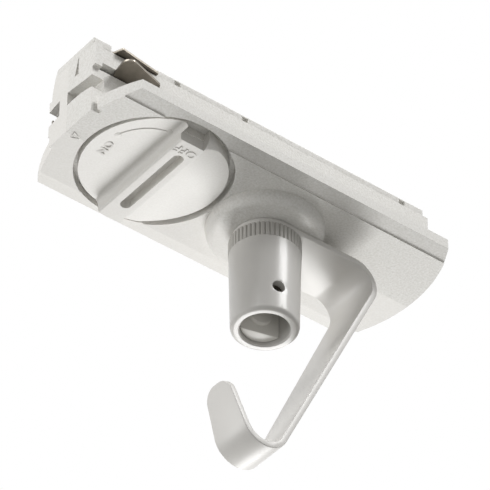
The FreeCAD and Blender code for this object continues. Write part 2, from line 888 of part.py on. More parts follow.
detent = new_body("detent_spring")
leaf = size("detent_thickness")
leaf_face = -hub_radius - size("detent_play")
leaf_half = size("detent_half_length")
leaf_foot = leaf_half + size("detent_foot")
wall_face = -inner_half + 0.1
detent_outline = [
    (-leaf_half, leaf_face),
    (-leaf_foot, wall_face + leaf),
    (-leaf_foot - 1.5, wall_face + leaf),
    (-leaf_foot - 1.5, wall_face),
    (-leaf_foot + 0.2, wall_face),
    (-leaf_half + 0.2, leaf_face - leaf),
    (leaf_half - 0.2, leaf_face - leaf),
    (leaf_foot - 0.2, wall_face),
    (leaf_foot + 1.5, wall_face),
    (leaf_foot + 1.5, wall_face + leaf),
    (leaf_foot, wall_face + leaf),
    (leaf_half, leaf_face),
]
extrude(detent, "detent_leaf", "XY", size("detent_low"), size("detent_high"), [detent_outline])
place(detent, dial_x)

# Contact carrier: arm with pivot sleeve, drive slot and a stake for the blades

carrier = new_body("contact_carrier")
carrier_low = size("carrier_low")
sleeve_bore = post_radius + play
sleeve_radius = sleeve_bore + size("carrier_wall")
ring_radius = sleeve_radius + size("ring_width")
arm_near = -inner_half + 0.5
arm_end = -size("arm_end")
arm_far = size("arm_far")
arm_heel = -size("arm_heel")
arm_step = dial_x + size("arm_step")
arm = [
    (pivot_x, pivot_y - ring_radius, ring_radius * 1.05),
    (pivot_x, pivot_y + ring_radius),
    (pivot_x - 3, pivot_y + ring_radius),
    (arm_end, arm_far),
    (arm_end - 1, arm_far - 1.5),
    (arm_end, arm_near),
    (arm_step, arm_heel),
]
extrude(carrier, "arm", "XY", carrier_low, neutral_z, [arm])
sleeve = ("circle", pivot_x, pivot_y, sleeve_radius)
extrude(carrier, "pivot_sleeve", "XY", carrier_low, live_z + blade, [sleeve])
stake_radius = size("stake_radius")
stake_x = -size("stake_x")
stake_y = -size("stake_y")
extrude(carrier, "stake", "XY", neutral_z - 0.5, live_z + blade, [("circle", stake_x, stake_y, stake_radius)])
bore = ("circle", pivot_x, pivot_y, sleeve_bore)
extrude(carrier, "pivot_bore", "XY", carrier_low - 1, live_z + blade + 1, [bore], cut=True)

# The drive slot runs along the line from the pivot through the pin

slot_reach = throw * (1 - cosine(half_turn))
slot_way = axle_angle + half_swing
slot_radius = pin_radius + size("pin_play")
way_x = cosine(slot_way)
way_y = sine(slot_way)
pin_world_x = dial_x + pin_x
inner_x = pin_world_x - way_x * 0.25
inner_y = pin_y - way_y * 0.25
outer_x = pin_world_x + way_x * (slot_reach + 0.25)
outer_y = pin_y + way_y * (slot_reach + 0.25)
drive_slot = [
    (inner_x - way_y * slot_radius, inner_y + way_x * slot_radius, slot_radius),
    (inner_x - way_x * slot_radius, inner_y - way_y * slot_radius, slot_radius),
    (inner_x + way_y * slot_radius, inner_y - way_x * slot_radius),
    (outer_x + way_y * slot_radius, outer_y - way_x * slot_radius, slot_radius),
    (outer_x + way_x * slot_radius, outer_y + way_y * slot_radius, slot_radius),
    (outer_x - way_y * slot_radius, outer_y + way_x * slot_radius),
]
extrude(carrier, "drive_slot", "XY", carrier_low - 1, neutral_z + 0.01, [drive_slot], cut=True)

# Two blades and the insulating spacer between them, riveted on the carrier's stake

stake_hole = stake_radius + size("stake_play")
ring_hole = sleeve_radius + size("stake_play")
stake_holes = [("circle", stake_x, stake_y, stake_hole)]
pivot_hole = ("circle", pivot_x, pivot_y, ring_hole)

neutral = new_body("neutral_contact")
blade_left = recess_right - size("blade_width")
blade_tip = -half_width - size("blade_reach")
neutral_outline = [
    (pivot_x, pivot_y - ring_radius, ring_radius * 1.05),
    (pivot_x, pivot_y + ring_radius),
    (pivot_x - 3, pivot_y + ring_radius - 0.6),
    (arm_end, arm_far - 1.0),
    (blade_left + 1.2, arm_heel),
    (blade_left, -half_width - 0.1),
    (blade_left - 0.5, blade_tip + 2.0, 1.9),
    (blade_left + 1.4, blade_tip),
    (recess_right - 1.4, blade_tip + 2.35),
    (recess_right - 0.5, -half_width - 1.6),
    (recess_right - 0.3, -inner_half),
    (recess_right + 0.6, arm_near),
    (arm_step, arm_heel),
]
extrude(neutral, "neutral_blade", "XY", neutral_z, neutral_z + blade, [neutral_outline])
blade_holes = stake_holes + [pivot_hole]
extrude(neutral, "neutral_holes", "XY", neutral_z - 1, neutral_z + blade + 1, blade_holes, cut=True)

live = new_body("live_contact")
live_outline = [
    (pivot_x + 1.6, -inner_half + 1.9),
    (pivot_x + ring_radius, pivot_y, ring_radius * 1.45),
    (pivot_x, pivot_y + ring_radius),
    (pivot_x - 3, pivot_y + ring_radius - 0.6),
    (arm_end, arm_far - 1.4),
    (blade_left + 1.2, arm_heel - 0.3),
    (blade_left - 0.6, -half_width),
    (blade_left + 0.4, blade_tip + 3.0),
    (recess_right - 0.4, -half_width - 1.2),
    (recess_right - 0.2, -inner_half),
    (recess_right + 0.6, arm_near),
    (arm_step, arm_heel),
]
extrude(live, "live_blade", "XY", live_z, live_z + blade, [live_outline])
extrude(live, "live_holes", "XY", live_z - 1, live_z + blade + 1, blade_holes, cut=True)

spacer = new_body("contact_spacer")
spacer_right = -size("spacer_right")
spacer_outline = [
    (spacer_right, arm_heel + 2.0),
    (spacer_right, pivot_y),
    (arm_end + 1, arm_far - 1.6),
    (arm_end, arm_near + 0.4),
    (dial_x, arm_heel + 0.2),
]
extrude(spacer, "spacer_block", "XY", neutral_z + blade, live_z, [spacer_outline])
extrude(spacer, "spacer_holes", "XY", neutral_z, live_z + 1, stake_holes, cut=True)

# Strips from the blades down to the terminals

strip = size("strip_thickness")
strip_width = size("strip_width")
strip_play = size("strip_play")
terminal_start = size("terminal_start")
terminal_end = terminal_start + size("terminal_length")
terminal_rest = size("terminal_rest")
bend_top = stem_x + 4
bend_low = terminal_start - 6


def strip_profile(left, high):
    return [
        (left, high - strip),
        (bend_top, high - strip),
        (bend_low, terminal_rest),
        (terminal_end, terminal_rest),
        (terminal_end, terminal_rest + strip),
        (bend_low + 0.2, terminal_rest + strip),
        (bend_top + 0.2, high),
        (left, high),
    ]


live_strip = new_body("live_strip")
live_side = -inner_half + 0.15
live_strip_top = live_z - strip_play
live_left = pivot_x - 1.0
live_profile = strip_profile(live_left, live_strip_top)
extrude(live_strip, "live_run", "XZ", live_side, live_side + strip_width, [live_profile])

neutral_strip = new_body("neutral_strip")
neutral_side = key_edge(as_length(13.0), wall) - 0.15
neutral_strip_top = neutral_z + blade + strip_play + strip
neutral_left = pivot_x + sleeve_radius + 0.25
neutral_profile = strip_profile(neutral_left, neutral_strip_top)
neutral_near = neutral_side - strip_width
extrude(neutral_strip, "neutral_run", "XZ", neutral_near, neutral_side, [neutral_profile])

# Terminals: brass blocks with wire bore and screw, on an insulating base

terminal_width = size("terminal_width")
block_low = terminal_rest + strip
block_high = block_low + size("terminal_height")
wire_z = block_low + size("terminal_height") * 0.42
terminal_screw_radius = size("terminal_screw_radius")


def terminal(label, start, length, middle, width, low, height, bore_z):
    body = new_body(label)
    outline = rectangle(start, middle - width / 2, start + length, middle + width / 2)
    extrude(body, label + "_block", "XY", low, low + height, [outline])
    wire = ("circle", middle, bore_z, size("terminal_bore"))
    extrude(body, label + "_wire", "YZ", start - 1, start + length + 1, [wire], cut=True)
    hole = ("circle", start + length / 2, middle, terminal_screw_radius + screw_play)
    extrude(body, label + "_thread", "XY", bore_z, low + height + 1, [hole], cut=True)
    return body


def terminal_screw(label, x, y, low, seat):
    body = new_body(label)
    shank = ("circle", 0, 0, terminal_screw_radius)
    high = seat + size("terminal_screw_proud")
    extrude(body, label + "_shank", "XY", low, high, [shank])
    slot = rectangle(-2.5, -0.25, 2.5, 0.25)
    extrude(body, label + "_slot", "XY", high - 0.6, high + 1, [slot], cut=True)
    place(body, x, y)
    return body


live_middle = live_side + strip_width / 2 + 0.5
neutral_middle = neutral_side - strip_width / 2 - 0.75
live_terminal = terminal(
    "live_terminal", terminal_start, size("terminal_length"), live_middle,
    terminal_width, block_low, size("terminal_height"), wire_z,
)
neutral_terminal = terminal(
    "neutral_terminal", terminal_start, size("terminal_length"), neutral_middle,
    terminal_width, block_low, size("terminal_height"), wire_z,
)
screw_x = terminal_start + size("terminal_length") / 2
live_screw = terminal_screw("live_terminal_screw", screw_x, live_middle, wire_z + 0.6, block_high)
neutral_screw = terminal_screw("neutral_terminal_screw", screw_x, neutral_middle, wire_z + 0.6, block_high)

base = new_body("terminal_base")
base_play = size("base_play")
base_left = terminal_start - 1.5
base_right = terminal_end + 1.5
base_outline = rectangle(base_left, -inner_half + base_play, base_right, inner_half - base_play)
extrude(base, "base_block", "XY", floor + 0.02, terminal_rest, [base_outline])
between = (live_middle + neutral_middle) / 2
fence_half = size("base_wall") / 2
fence = rectangle(base_left, between - fence_half, base_right, between + fence_half)
extrude(base, "base_fence", "XY", terminal_rest - 0.5, block_high, [fence])
hollow = rectangle(base_left + 1.2, -inner_half + 1.3, base_right - 1.2, inner_half - 1.3)
extrude(base, "base_hollow", "XY", floor - 1, terminal_rest - 1.2, [hollow], cut=True)

# Earth: spring strip on the far side, tag under the nut, and its terminal

earth = new_body("earth_contact")
earth_face = inner_half - size("earth_strip_play")
earth_bulge = half_width + size("earth_bulge")
earth_inner = earth_face - strip
earth_rise_right = earth_right - 0.6
tag_end = stem_x - 6.0
crest_right = earth_right - size("earth_crest")
crest_left = crest_right - 2.8
earth_tip = earth_left + 0.2
earth_outline = [
    (tag_end - 3.2, earth_inner),
    (tag_end - 3.2, earth_face),
    (earth_rise_right, earth_face),
    (crest_right, earth_bulge),
    (crest_left, earth_bulge),
    (earth_tip, half_width + 0.35),
    (earth_tip, half_width + 0.35 - strip),
    (crest_left + 0.1, earth_bulge - strip),
    (crest_right - 0.1, earth_bulge - strip),
    (earth_rise_right + 0.3, earth_inner),
]
extrude(earth, "earth_spring", "XY", size("earth_low"), size("earth_high"), [earth_outline])
tag_low = floor + 0.02
tag_high = tag_low + size("tag_thickness")
drop = rectangle(tag_end - 5.6, earth_inner, tag_end - 3.2, earth_face)
extrude(earth, "earth_drop", "XY", tag_low, size("earth_low") + 0.3, [drop])
tag = rectangle(tag_end - 5.6, 2.4, stem_x, earth_face)
extrude(earth, "earth_tag", "XY", tag_low, tag_high, [tag])
washer_radius = size("washer_radius")
extrude(earth, "earth_ring", "XY", tag_low, tag_high, [("circle", stem_x, 0, washer_radius)])
earth_terminal_start = size("earth_terminal_start")
earth_terminal_end = earth_terminal_start + size("earth_terminal_length")
tail = rectangle(stem_x, -2, earth_terminal_end, 2)
extrude(earth, "earth_tail", "XY", tag_low, tag_high, [tail])
ring_bore = ("circle", stem_x, 0, stem_radius + thread_play)
extrude(earth, "earth_bore", "XY", tag_low - 1, tag_high + 0.5, [ring_bore], cut=True)

earth_terminal_height = size("earth_terminal_height")
earth_wire_z = tag_high + earth_terminal_height * 0.45
earth_terminal = terminal(
    "earth_terminal", earth_terminal_start, size("earth_terminal_length"), as_length(0),
    size("earth_terminal_width"), tag_high, earth_terminal_height, earth_wire_z,
)
earth_screw_x = earth_terminal_start + size("earth_terminal_length") / 2
earth_screw = terminal_screw(
    "earth_terminal_screw", earth_screw_x, as_length(0), earth_wire_z + 0.6, tag_high + earth_terminal_height
)

# Stem, washer and nut

hook_play = size("hook_play")
hook_top = boss_low - hook_play
hook_low = hook_top - size("hook_thickness")
knurl_top = hook_low - hook_play
knurl_low = knurl_top - size("ring_height")
nozzle_top = knurl_low
nozzle_low = nozzle_top - size("nozzle_length")

stem = new_body("threaded_stem")
stem_low = nozzle_top - size("stem_reach")
stem_section = [
    (size("stem_bore"), stem_low),
    (stem_radius, stem_low),
    (stem_radius, size("stem_top")),
    (size("stem_bore"), size("stem_top")),
]
revolve(stem, "stem_tube", stem_section)
place(stem, stem_x)

washer = new_body("stem_washer")
washer_low = tag_high
washer_high = washer_low + size("washer_thickness")
washer_loops = [("circle", 0, 0, washer_radius), ("circle", 0, 0, stem_radius + thread_play)]
extrude(washer, "washer_ring", "XY", washer_low, washer_high, washer_loops)
place(washer, stem_x)

nut = new_body("stem_nut")
nut_flat = size("nut_flat_half")
nut_corner = nut_flat * 2 / root(3)
nut_outline = []
for turn in range(6):
    angle = math.radians(60.0 * turn)
    nut_outline.append((nut_corner * round(math.cos(angle), 12), nut_corner * round(math.sin(angle), 12)))
nut_loops = [nut_outline, ("circle", 0, 0, stem_radius + thread_play)]
extrude(nut, "nut_hexagon", "XY", washer_high, washer_high + size("nut_height"), nut_loops)
place(nut, stem_x)

# Screws that join the half shells, heads on the far side

screw_pins = []
screw_radius = size("screw_radius")
for number, spot in enumerate(screw_spots):
    pin = new_body("housing_screw_pin%d" % number)
    shank = ("circle", spot[0], spot[1], screw_radius)
    extrude(pin, "shank%d" % number, "XZ", screw_tip + 0.3, screw_head_face + 0.3, [shank])
    head = ("circle", spot[0], spot[1], size("screw_head_radius"))
    extrude(pin, "head%d" % number, "XZ", screw_head_face, half_width - 0.2, [head])
    slot = rectangle(spot[0] - 2.4, spot[1] - 0.25, spot[0] + 2.4, spot[1] + 0.25)
    extrude(pin, "slot%d" % number, "XZ", half_width - 0.8, half_width + 1, [slot], cut=True)
    screw_pins.append(pin)
housing_screws = doc.addObject("Part::Compound", "housing_screws")
housing_screws.Label = "housing_screws"
housing_screws.Links = screw_pins

# Hook: bent strap, drawn from the side, then tapered and rounded

hook = new_body("hook")
thick = size("hook_thickness")
half_thick = thick / 2
middle_z = hook_top - half_thick


def strap_side(offset):
    """Corners of the strap's outline at a given distance from its middle line."""
    bend = size("hook_bend_radius")
    foot = size("hook_foot_radius")
    bend_angle = size("hook_bend_angle")
    foot_angle = size("hook_foot_angle")
    first = (0, middle_z + offset)
    second = (size("hook_flat_length"), middle_z + offset)
    centre_x = size("hook_flat_length")
    centre_z = middle_z - bend
    radius = bend + offset
    third = (centre_x + radius * sine(bend_angle), centre_z + radius * cosine(bend_angle))
    down_x = cosine(bend_angle)
    down_z = -sine(bend_angle)
    arm_length = size("hook_arm_length")
    fourth = (third[0] + arm_length * down_x, third[1] + arm_length * down_z)
    foot_x = centre_x + (bend - foot) * sine(bend_angle) + arm_length * down_x
    foot_z = centre_z + (bend - foot) * cosine(bend_angle) + arm_length * down_z
    total = bend_angle + foot_angle
    foot_out = foot + offset
    fifth = (foot_x + foot_out * sine(total), foot_z + foot_out * cosine(total))
    tip_length = size("hook_tip_length")
    sixth = (fifth[0] + tip_length * cosine(total), fifth[1] - tip_length * sine(total))
    return [first, second, third, fourth, fifth, sixth], radius, foot_out


outer, outer_bend, outer_foot = strap_side(half_thick)
inner, inner_bend, inner_foot = strap_side(-half_thick)
strap_outline = [
    outer[0],
    (outer[1][0], outer[1][1], -outer_bend),
    outer[2],
    (outer[3][0], outer[3][1], -outer_foot),
    outer[4],
    outer[5],
    inner[5],
    (inner[4][0], inner[4][1], inner_foot),
    inner[3],
    (inner[2][0], inner[2][1], inner_bend),
    inner[1],
    inner[0],
]
hook_half = size("hook_half_width")
extrude(hook, "strap", "XZ", -hook_half, hook_half, [strap_outline])
eye = ("circle", 0, 0, hook_half)
extrude(hook, "hook_eye", "XY", hook_low, hook_top, [eye])
eye_hole = ("circle", 0, 0, stem_radius + size("hook_eye_play"))
extrude(hook, "hook_eye_hole", "XY", hook_low - 1, hook_top + 1, [eye_hole], cut=True)
taper_top = inner[2][1]
taper_low = inner[3][1]
low_half = size("hook_low_half_width")
tip_half = size("hook_tip_half_width")
lowest = outer[4][1] - 8
wedge = [
    (hook_half + 1, taper_top),
    (hook_half + 1, lowest),
    (low_half, lowest),
    (low_half, taper_low),
    (hook_half, taper_top),
]
wedge_other = [(-corner[0], corner[1]) for corner in wedge]
extrude(hook, "arm_taper", "YZ", -30, 40, [wedge, wedge_other], cut=True)
tip_top = inner[5][1] + 0.5
tip_wedge = [
    (low_half + 1, taper_low),
    (low_half + 1, tip_top),
    (tip_half, tip_top),
    (low_half, taper_low),
]
tip_wedge_other = [(-corner[0], corner[1]) for corner in tip_wedge]
tip_start = outer[3][0] - 2
extrude(hook, "tip_taper", "YZ", -30, tip_start, [tip_wedge, tip_wedge_other], cut=True)


def tip_edge(edge):
    middle = edge.CenterOfMass
    straight = edge.Length < thick.value * 1.3
    near_tip = (middle - FreeCAD.Vector(outer[5][0].value, middle.y, outer[5][1].value)).Length
    return straight and near_tip < thick.value and abs(middle.y) > tip_half.value * 0.8


round_edges(hook, "tip_rounding", tip_half - 0.2, tip_edge)
place(hook, stem_x)

# Knurled ring that locks the hook

knurl = new_body("knurled_ring")
ring_outer = size("ring_radius")
knurl_section = [
    (stem_radius + thread_play, knurl_low),
    (ring_outer, knurl_low),
    (ring_outer, knurl_top),
    (stem_radius + thread_play, knurl_top),
]
revolve(knurl, "knurl_blank", knurl_section)
doc.recompute()
rib_count = int(sheet.ring_ribs)
groove_half = Length(math.pi / rib_count * 0.42, "(3.14159265 / Sizes.ring_ribs * 0.42)") * ring_outer
rib_depth = size("ring_rib_depth")
rib_groove = [
    (ring_outer - rib_depth, 0),
    (ring_outer + 0.3, groove_half * 1.6),
    (ring_outer + 0.3, -groove_half * 1.6),
]
extrude(knurl, "rib_groove", "XY", knurl_low - 1, knurl_top + 1, [rib_groove], cut=True)
ribs = knurl.newObject("PartDesign::PolarPattern", "ribs")
ribs.Originals = [doc.getObject("rib_groove")]
axis = [item for item in knurl.Origin.OriginFeatures if item.Role == "Z_Axis"][0]
ribs.Axis = (axis, [""])
ribs.Angle = 360.0
ribs.setExpression("Occurrences", "Sizes.ring_ribs")
knurl.Tip = ribs
place(knurl, stem_x)

# Nozzle with side hole

nozzle = new_body("nozzle")
chamber = size("nozzle_chamber_radius")
rim_round = size("nozzle_rim_round")
thread_end = nozzle_top - size("nozzle_thread_length")
low_radius = size("nozzle_low_radius")
nozzle_section = [
    (stem_radius + thread_play, nozzle_top),
    (stem_radius + thread_play, thread_end),
    (chamber, thread_end),
    (chamber, nozzle_low + 0.3),
    (chamber + 0.3, nozzle_low),
]
nozzle_section += quarter_round(low_radius, nozzle_low, rim_round, 3)
nozzle_section.append((size("nozzle_top_radius"), nozzle_top))
revolve(nozzle, "nozzle_shell", nozzle_section)
side_z = nozzle_top - size("side_hole_drop")
bore_tool = doc.addObject("Part::Cylinder", "side_bore")
bore_tool.setExpression("Radius", "Sizes.side_hole_radius")
bore_tool.Height = 20
side_way = FreeCAD.Rotation(FreeCAD.Vector(1, 0, 0), 90)
side_turn = FreeCAD.Rotation(FreeCAD.Vector(0, 0, 1), -size("side_hole_angle").value)
bore_tool.Placement = FreeCAD.Placement(FreeCAD.Vector(0, 0, 0), side_turn.multiply(side_way))
place(bore_tool, stem_x, 0, side_z)
place(nozzle, stem_x)
nozzle.Label = "nozzle_turned"
drilled_nozzle = combine("Part::Cut", "nozzle", nozzle, bore_tool)
drilled_nozzle.Label = "nozzle"

# Grub screw in the side hole

grub = new_body("grub_screw")
grub_face = low_radius - size("grub_sink")
grub_radius = size("grub_radius")
grub_section = [
    (0, size("grub_tip")),
    (grub_radius - 0.4, size("grub_tip")),
    (grub_radius, size("grub_tip") + 0.4),
    (grub_radius, grub_face),
    (0, grub_face),
]
revolve(grub, "grub_body", grub_section)
socket = []
for turn in range(6):
    angle = math.radians(60.0 * turn)
    across = size("grub_socket")
    socket.append((across * round(math.cos(angle), 12), across * round(math.sin(angle), 12)))
socket_low = grub_face - size("grub_socket_depth")
extrude(grub, "grub_socket", "XY", socket_low, grub_face + 1, [socket], cut=True)
grub.Placement = FreeCAD.Placement(FreeCAD.Vector(0, 0, 0), side_turn.multiply(side_way))
place(grub, stem_x, 0, side_z)

# Clamp shoe inside the nozzle across from the side hole, with a round pad for the screw's thrust

clamp = new_body("cord_clamp")
clamp_radius = chamber - size("clamp_play")
clamp_high = thread_end - size("clamp_top_gap")
clamp_top = clamp_high
clamp_low = clamp_high - size("clamp_far_length")
extrude(clamp, "clamp_block", "XY", clamp_low, clamp_top, [("circle", 0, 0, clamp_radius)])
clamp_face = size("clamp_face")
side_cut = rectangle(-10, -10, 10, clamp_face)
extrude(clamp, "clamp_flat", "XY", clamp_low - 1, clamp_top + 1, [side_cut], cut=True)
clamp_pad = ("circle", 0, side_z, size("clamp_pad_radius"))
extrude(clamp, "clamp_pad", "XZ", clamp_face - size("clamp_pad_height"), clamp_face + 0.4, [clamp_pad])
slant = [
    (-1, clamp_low - 1),
    (clamp_radius + 0.5, clamp_low - 1),
    (clamp_radius + 0.5, clamp_low),
    (clamp_radius, clamp_low),
    (clamp_face, clamp_high - size("clamp_near_length")),
    (-1, clamp_high - size("clamp_near_length")),
]
extrude(clamp, "clamp_slant", "YZ", -10, 10, [slant], cut=True)
clamp.Placement = FreeCAD.Placement(FreeCAD.Vector(0, 0, 0), side_turn)
place(clamp, stem_x)

# Write every sub-part after checking the whole document

doc.recompute()

NODES = [
    near_shell, far_shell, lid, dial, clip, detent, carrier, neutral, live, spacer,
    live_strip, neutral_strip, live_terminal, neutral_terminal, live_screw, neutral_screw,
    base, earth, earth_terminal, earth_screw, stem, washer, nut, housing_screws,
    hook, knurl, drilled_nozzle, grub, clamp,
]

for item in doc.Objects:
    if "Invalid" in item.State or "Error" in item.State:
        raise RuntimeError(item.Label + " has failed")
for item in NODES:
    if item.Shape.isNull() or not item.Shape.isValid():
        raise RuntimeError(item.Label + " has no valid shape")

os.makedirs("parts", exist_ok=True)
for item in NODES:
    item.Shape.exportStep("parts/" + item.Label + ".step")
    box = item.Shape.BoundBox
    count = len(item.Shape.Solids)
    print("%-24s %2d  %8.1f mm3" % (item.Label, count, item.Shape.Volume))
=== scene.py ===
import json
import math

import bpy
from mathutils import Matrix, Vector

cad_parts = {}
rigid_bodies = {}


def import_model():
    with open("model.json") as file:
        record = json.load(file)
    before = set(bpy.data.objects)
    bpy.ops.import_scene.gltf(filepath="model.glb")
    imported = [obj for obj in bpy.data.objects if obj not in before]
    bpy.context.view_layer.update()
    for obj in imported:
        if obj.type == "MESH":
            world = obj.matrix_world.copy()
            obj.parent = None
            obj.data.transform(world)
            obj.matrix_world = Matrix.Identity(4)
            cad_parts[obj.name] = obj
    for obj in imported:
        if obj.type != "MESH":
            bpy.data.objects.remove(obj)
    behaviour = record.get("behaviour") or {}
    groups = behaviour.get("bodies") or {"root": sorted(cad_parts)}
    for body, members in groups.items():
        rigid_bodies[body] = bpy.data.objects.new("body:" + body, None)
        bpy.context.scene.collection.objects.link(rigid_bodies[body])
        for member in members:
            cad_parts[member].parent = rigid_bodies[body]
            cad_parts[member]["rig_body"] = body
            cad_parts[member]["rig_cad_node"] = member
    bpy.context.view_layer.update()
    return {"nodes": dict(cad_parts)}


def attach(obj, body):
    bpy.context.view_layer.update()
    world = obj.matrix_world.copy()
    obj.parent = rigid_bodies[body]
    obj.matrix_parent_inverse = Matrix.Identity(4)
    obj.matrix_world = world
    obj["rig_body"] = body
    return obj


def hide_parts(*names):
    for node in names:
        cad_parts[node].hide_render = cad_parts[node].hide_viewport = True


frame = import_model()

bl_info = {
    "name": "Track light adapter",
    "version": (1, 0, 0),
    "blender": (4, 5, 0),
    "location": "View3D > Sidebar > Adapter",
    "description": "Dresses the adapter: moulded housing, dial, contacts, hook, nozzle and stage",
    "category": "Object",
}

MM = 0.001


# ---- Sizes and colours that a user would change ----


def linear(hex_value):
    """Turns an sRGB hex colour to linear values."""
    parts = [int(hex_value[i : i + 2], 16) / 255 for i in (1, 3, 5)]
    return tuple(c / 12.92 if c <= 0.04045 else ((c + 0.055) / 1.055) ** 2.4 for c in parts)


def colour(name, description, hex_value):
    return bpy.props.FloatVectorProperty(
        name=name,
        description=description,
        default=linear(hex_value),
        min=0.0,
        max=1.0,
        subtype="COLOR",
    )


def length(name, description, metres):
    return bpy.props.FloatProperty(
        name=name,
        description=description,
        default=metres,
        min=0.0,
        unit="LENGTH",
        subtype="DISTANCE",
    )


class AdapterEdges(bpy.types.PropertyGroup):
    """How far the edges of each piece are rounded off"""

    housing: length("Housing", "Rounding of the half shells' moulded edges", 0.16 * MM)
    lid: length("Lid", "Rounding of the lid, fine because of its small notches", 0.04 * MM)
    dial: length("Dial", "Rounding of the dial, its bar and its slot", 0.11 * MM)
    blade: length("Blades", "Rounding that the press leaves on the blades", 0.09 * MM)
    earth_spring: length("Earth spring", "Rounding of the earth spring's edges", 0.08 * MM)
    strap: length("Hook", "Rounding of the strap's long edges under the paint", 0.4 * MM)
    nozzle: length("Nozzle", "Rounding of the nozzle's turned edges", 0.12 * MM)
    ribs: length("Lock ring", "Rounding of the lock ring's ribs", 0.13 * MM)
    shoe: length("Clamp shoe", "Rounding of the clamp shoe", 0.2 * MM)


class AdapterColours(bpy.types.PropertyGroup):
    """The darker and the lighter tone that each finish wanders between"""

    housing_dark: colour("Far half, dark", "Darker tone of the far half shell", "#dcdad5")
    housing_light: colour("Far half, light", "Lighter tone of the far half shell", "#e5e3df")
    near_dark: colour("Near half, dark", "Darker tone of near half and lid", "#d6d5d0")
    near_light: colour("Near half, light", "Lighter tone of near half and lid", "#e1dfdb")
    dial_dark: colour("Dial, dark", "Darker tone of the dial", "#dbd9d4")
    dial_light: colour("Dial, light", "Lighter tone of the dial", "#e3e1dd")
    carrier_dark: colour("Carrier, dark", "Darker tone of the insulating pieces", "#bab6ab")
    carrier_light: colour("Carrier, light", "Lighter tone of the insulating pieces", "#c7c3b8")
    clamp_dark: colour("Clamp, dark", "Darker tone of the clamp shoe", "#dddbd5")
    clamp_light: colour("Clamp, light", "Lighter tone of the clamp shoe", "#e6e4df")
    # The nozzle's tones are painted shade: greyer than the white paint, for the flange's shadow
    # on the nozzle
    nozzle_dark: colour("Nozzle, dark", "Darker tone of the nozzle's paint", "#c1bfbb")
    nozzle_light: colour("Nozzle, light", "Lighter tone of the nozzle's paint", "#cac8c4")
    # The lock ring's tones are painted shade: darker than the paint, for the flange's shadow on
    # the ring
    ring_dark: colour("Lock ring, dark", "Darker tone of the lock ring's paint", "#b1afaa")
    ring_light: colour("Lock ring, light", "Lighter tone of the lock ring's paint", "#bcbab5")
    hook_dark: colour("Hook, dark", "Darker tone of the hook's paint", "#d4d2ce")
    hook_light: colour("Hook, light", "Lighter tone of the hook's paint", "#dcdad6")
    # The contacts' tones are painted shade, far darker than bright nickel
    nickel_dark: colour("Nickel, dark", "Darker tone of the plated contacts", "#716b62")
    nickel_light: colour("Nickel, light", "Lighter tone of the plated contacts", "#958f86")
    brass_dark: colour("Brass, dark", "Darker tone of strips and terminals", "#b08d4a")
    brass_light: colour("Brass, light", "Lighter tone of strips and terminals", "#caa862")
    steel_dark: colour("Zinc, dark", "Darker tone of the zinc-plated steel", "#a6a8aa")
    steel_light: colour("Zinc, light", "Lighter tone of the zinc-plated steel", "#c2c4c6")
    grub_dark: colour("Grub screw, dark", "Darker tone of the grub screw", "#4a4640")
    grub_light: colour("Grub screw, light", "Lighter tone of the grub screw", "#5d584f")


class AdapterMarks(bpy.types.PropertyGroup):
    """Sizes of the raised words, line, dots and pointer"""

    on_size: length("ON size", "Type size of the word ON", 2.565 * MM)
    off_size: length("OFF size", "Type size of the word OFF", 2.698 * MM)
    relief: length("Relief", "How far the letters stand out", 0.12 * MM)
    line_bead: length("Line bead", "Radius of the turning line's bead", 0.16 * MM)
    dot_radius: length("Dots", "Radius of the dots that end the turning line", 0.78 * MM)
    pointer_bead: length("Pointer bead", "Radius of the pointer's bead", 0.18 * MM)


class AdapterStage(bpy.types.PropertyGroup):
    """The floor and the soft light all round"""

    floor_drop: length("Floor drop", "How far the floor lies under the part", 1.3)
    floor_colour: colour("Floor", "Colour of the floor that takes the shadow", "#d8d8d6")
    world_colour: colour("Soft light", "Colour of the light that comes from all round", "#f6f5f4")
    world_strength: bpy.props.FloatProperty(
        name="Soft light strength",
        description="How strong the light from all round is",
        default=0.38,
        min=0.0,
        subtype="FACTOR",
    )


# ---- Finishes ----

# Every pattern's size is in millimetres on the piece
TONE_DRIFT_MM = 9.0
MOULD_ROUGHNESS_DRIFT = 0.05
PAINT_DRIFT_MM = 7.0
# The waves that powder paint keeps from the oven are really about this wide
ORANGE_PEEL_MM = 1.1
# Paint dust is really about 0.05 mm, and is drawn five times as coarse so that it shows
PAINT_DUST_MM = 0.25
PAINT_DUST_SHARE = 0.2
PAINT_WAVE_HEIGHT_MM = 0.006
PAINT_COAT_ROUGHNESS = 0.18
METAL_DRIFT_MM = 2.5
METAL_MARK_DEPTH_MM = 0.002
METAL_SMOOTHER = 0.06
METAL_ROUGHER = 0.08
NOISE_ROUGHNESS = 0.55
PLASTIC_IOR = 1.5
# Rolling draws the marks out along the strip, which runs along y
ALONG_STRIP = (1.0, 0.12, 1.0)
UNSTRETCHED = (1.0, 1.0, 1.0)


def opaque(colour_value):
    return (*colour_value, 1.0)


def cells(size_mm):
    """Noise scale that makes cells about size_mm across."""
    return 1.0 / (size_mm * MM)


def add_node(material, kind, settings=None, inputs=None, links=None):
    """Adds one node, sets its settings and inputs, and links other nodes' outputs into it."""
    tree = material.node_tree
    node = tree.nodes.new(kind)
    for key, value in (settings or {}).items():
        setattr(node, key, value)
    for key, value in (inputs or {}).items():
        node.inputs[key].default_value = value
    for key, output in (links or {}).items():
        tree.links.new(output, node.inputs[key])
    return node


def new_material(name):
    material = bpy.data.materials.new(name)
    material.use_nodes = True
    material.node_tree.nodes.clear()
    return material


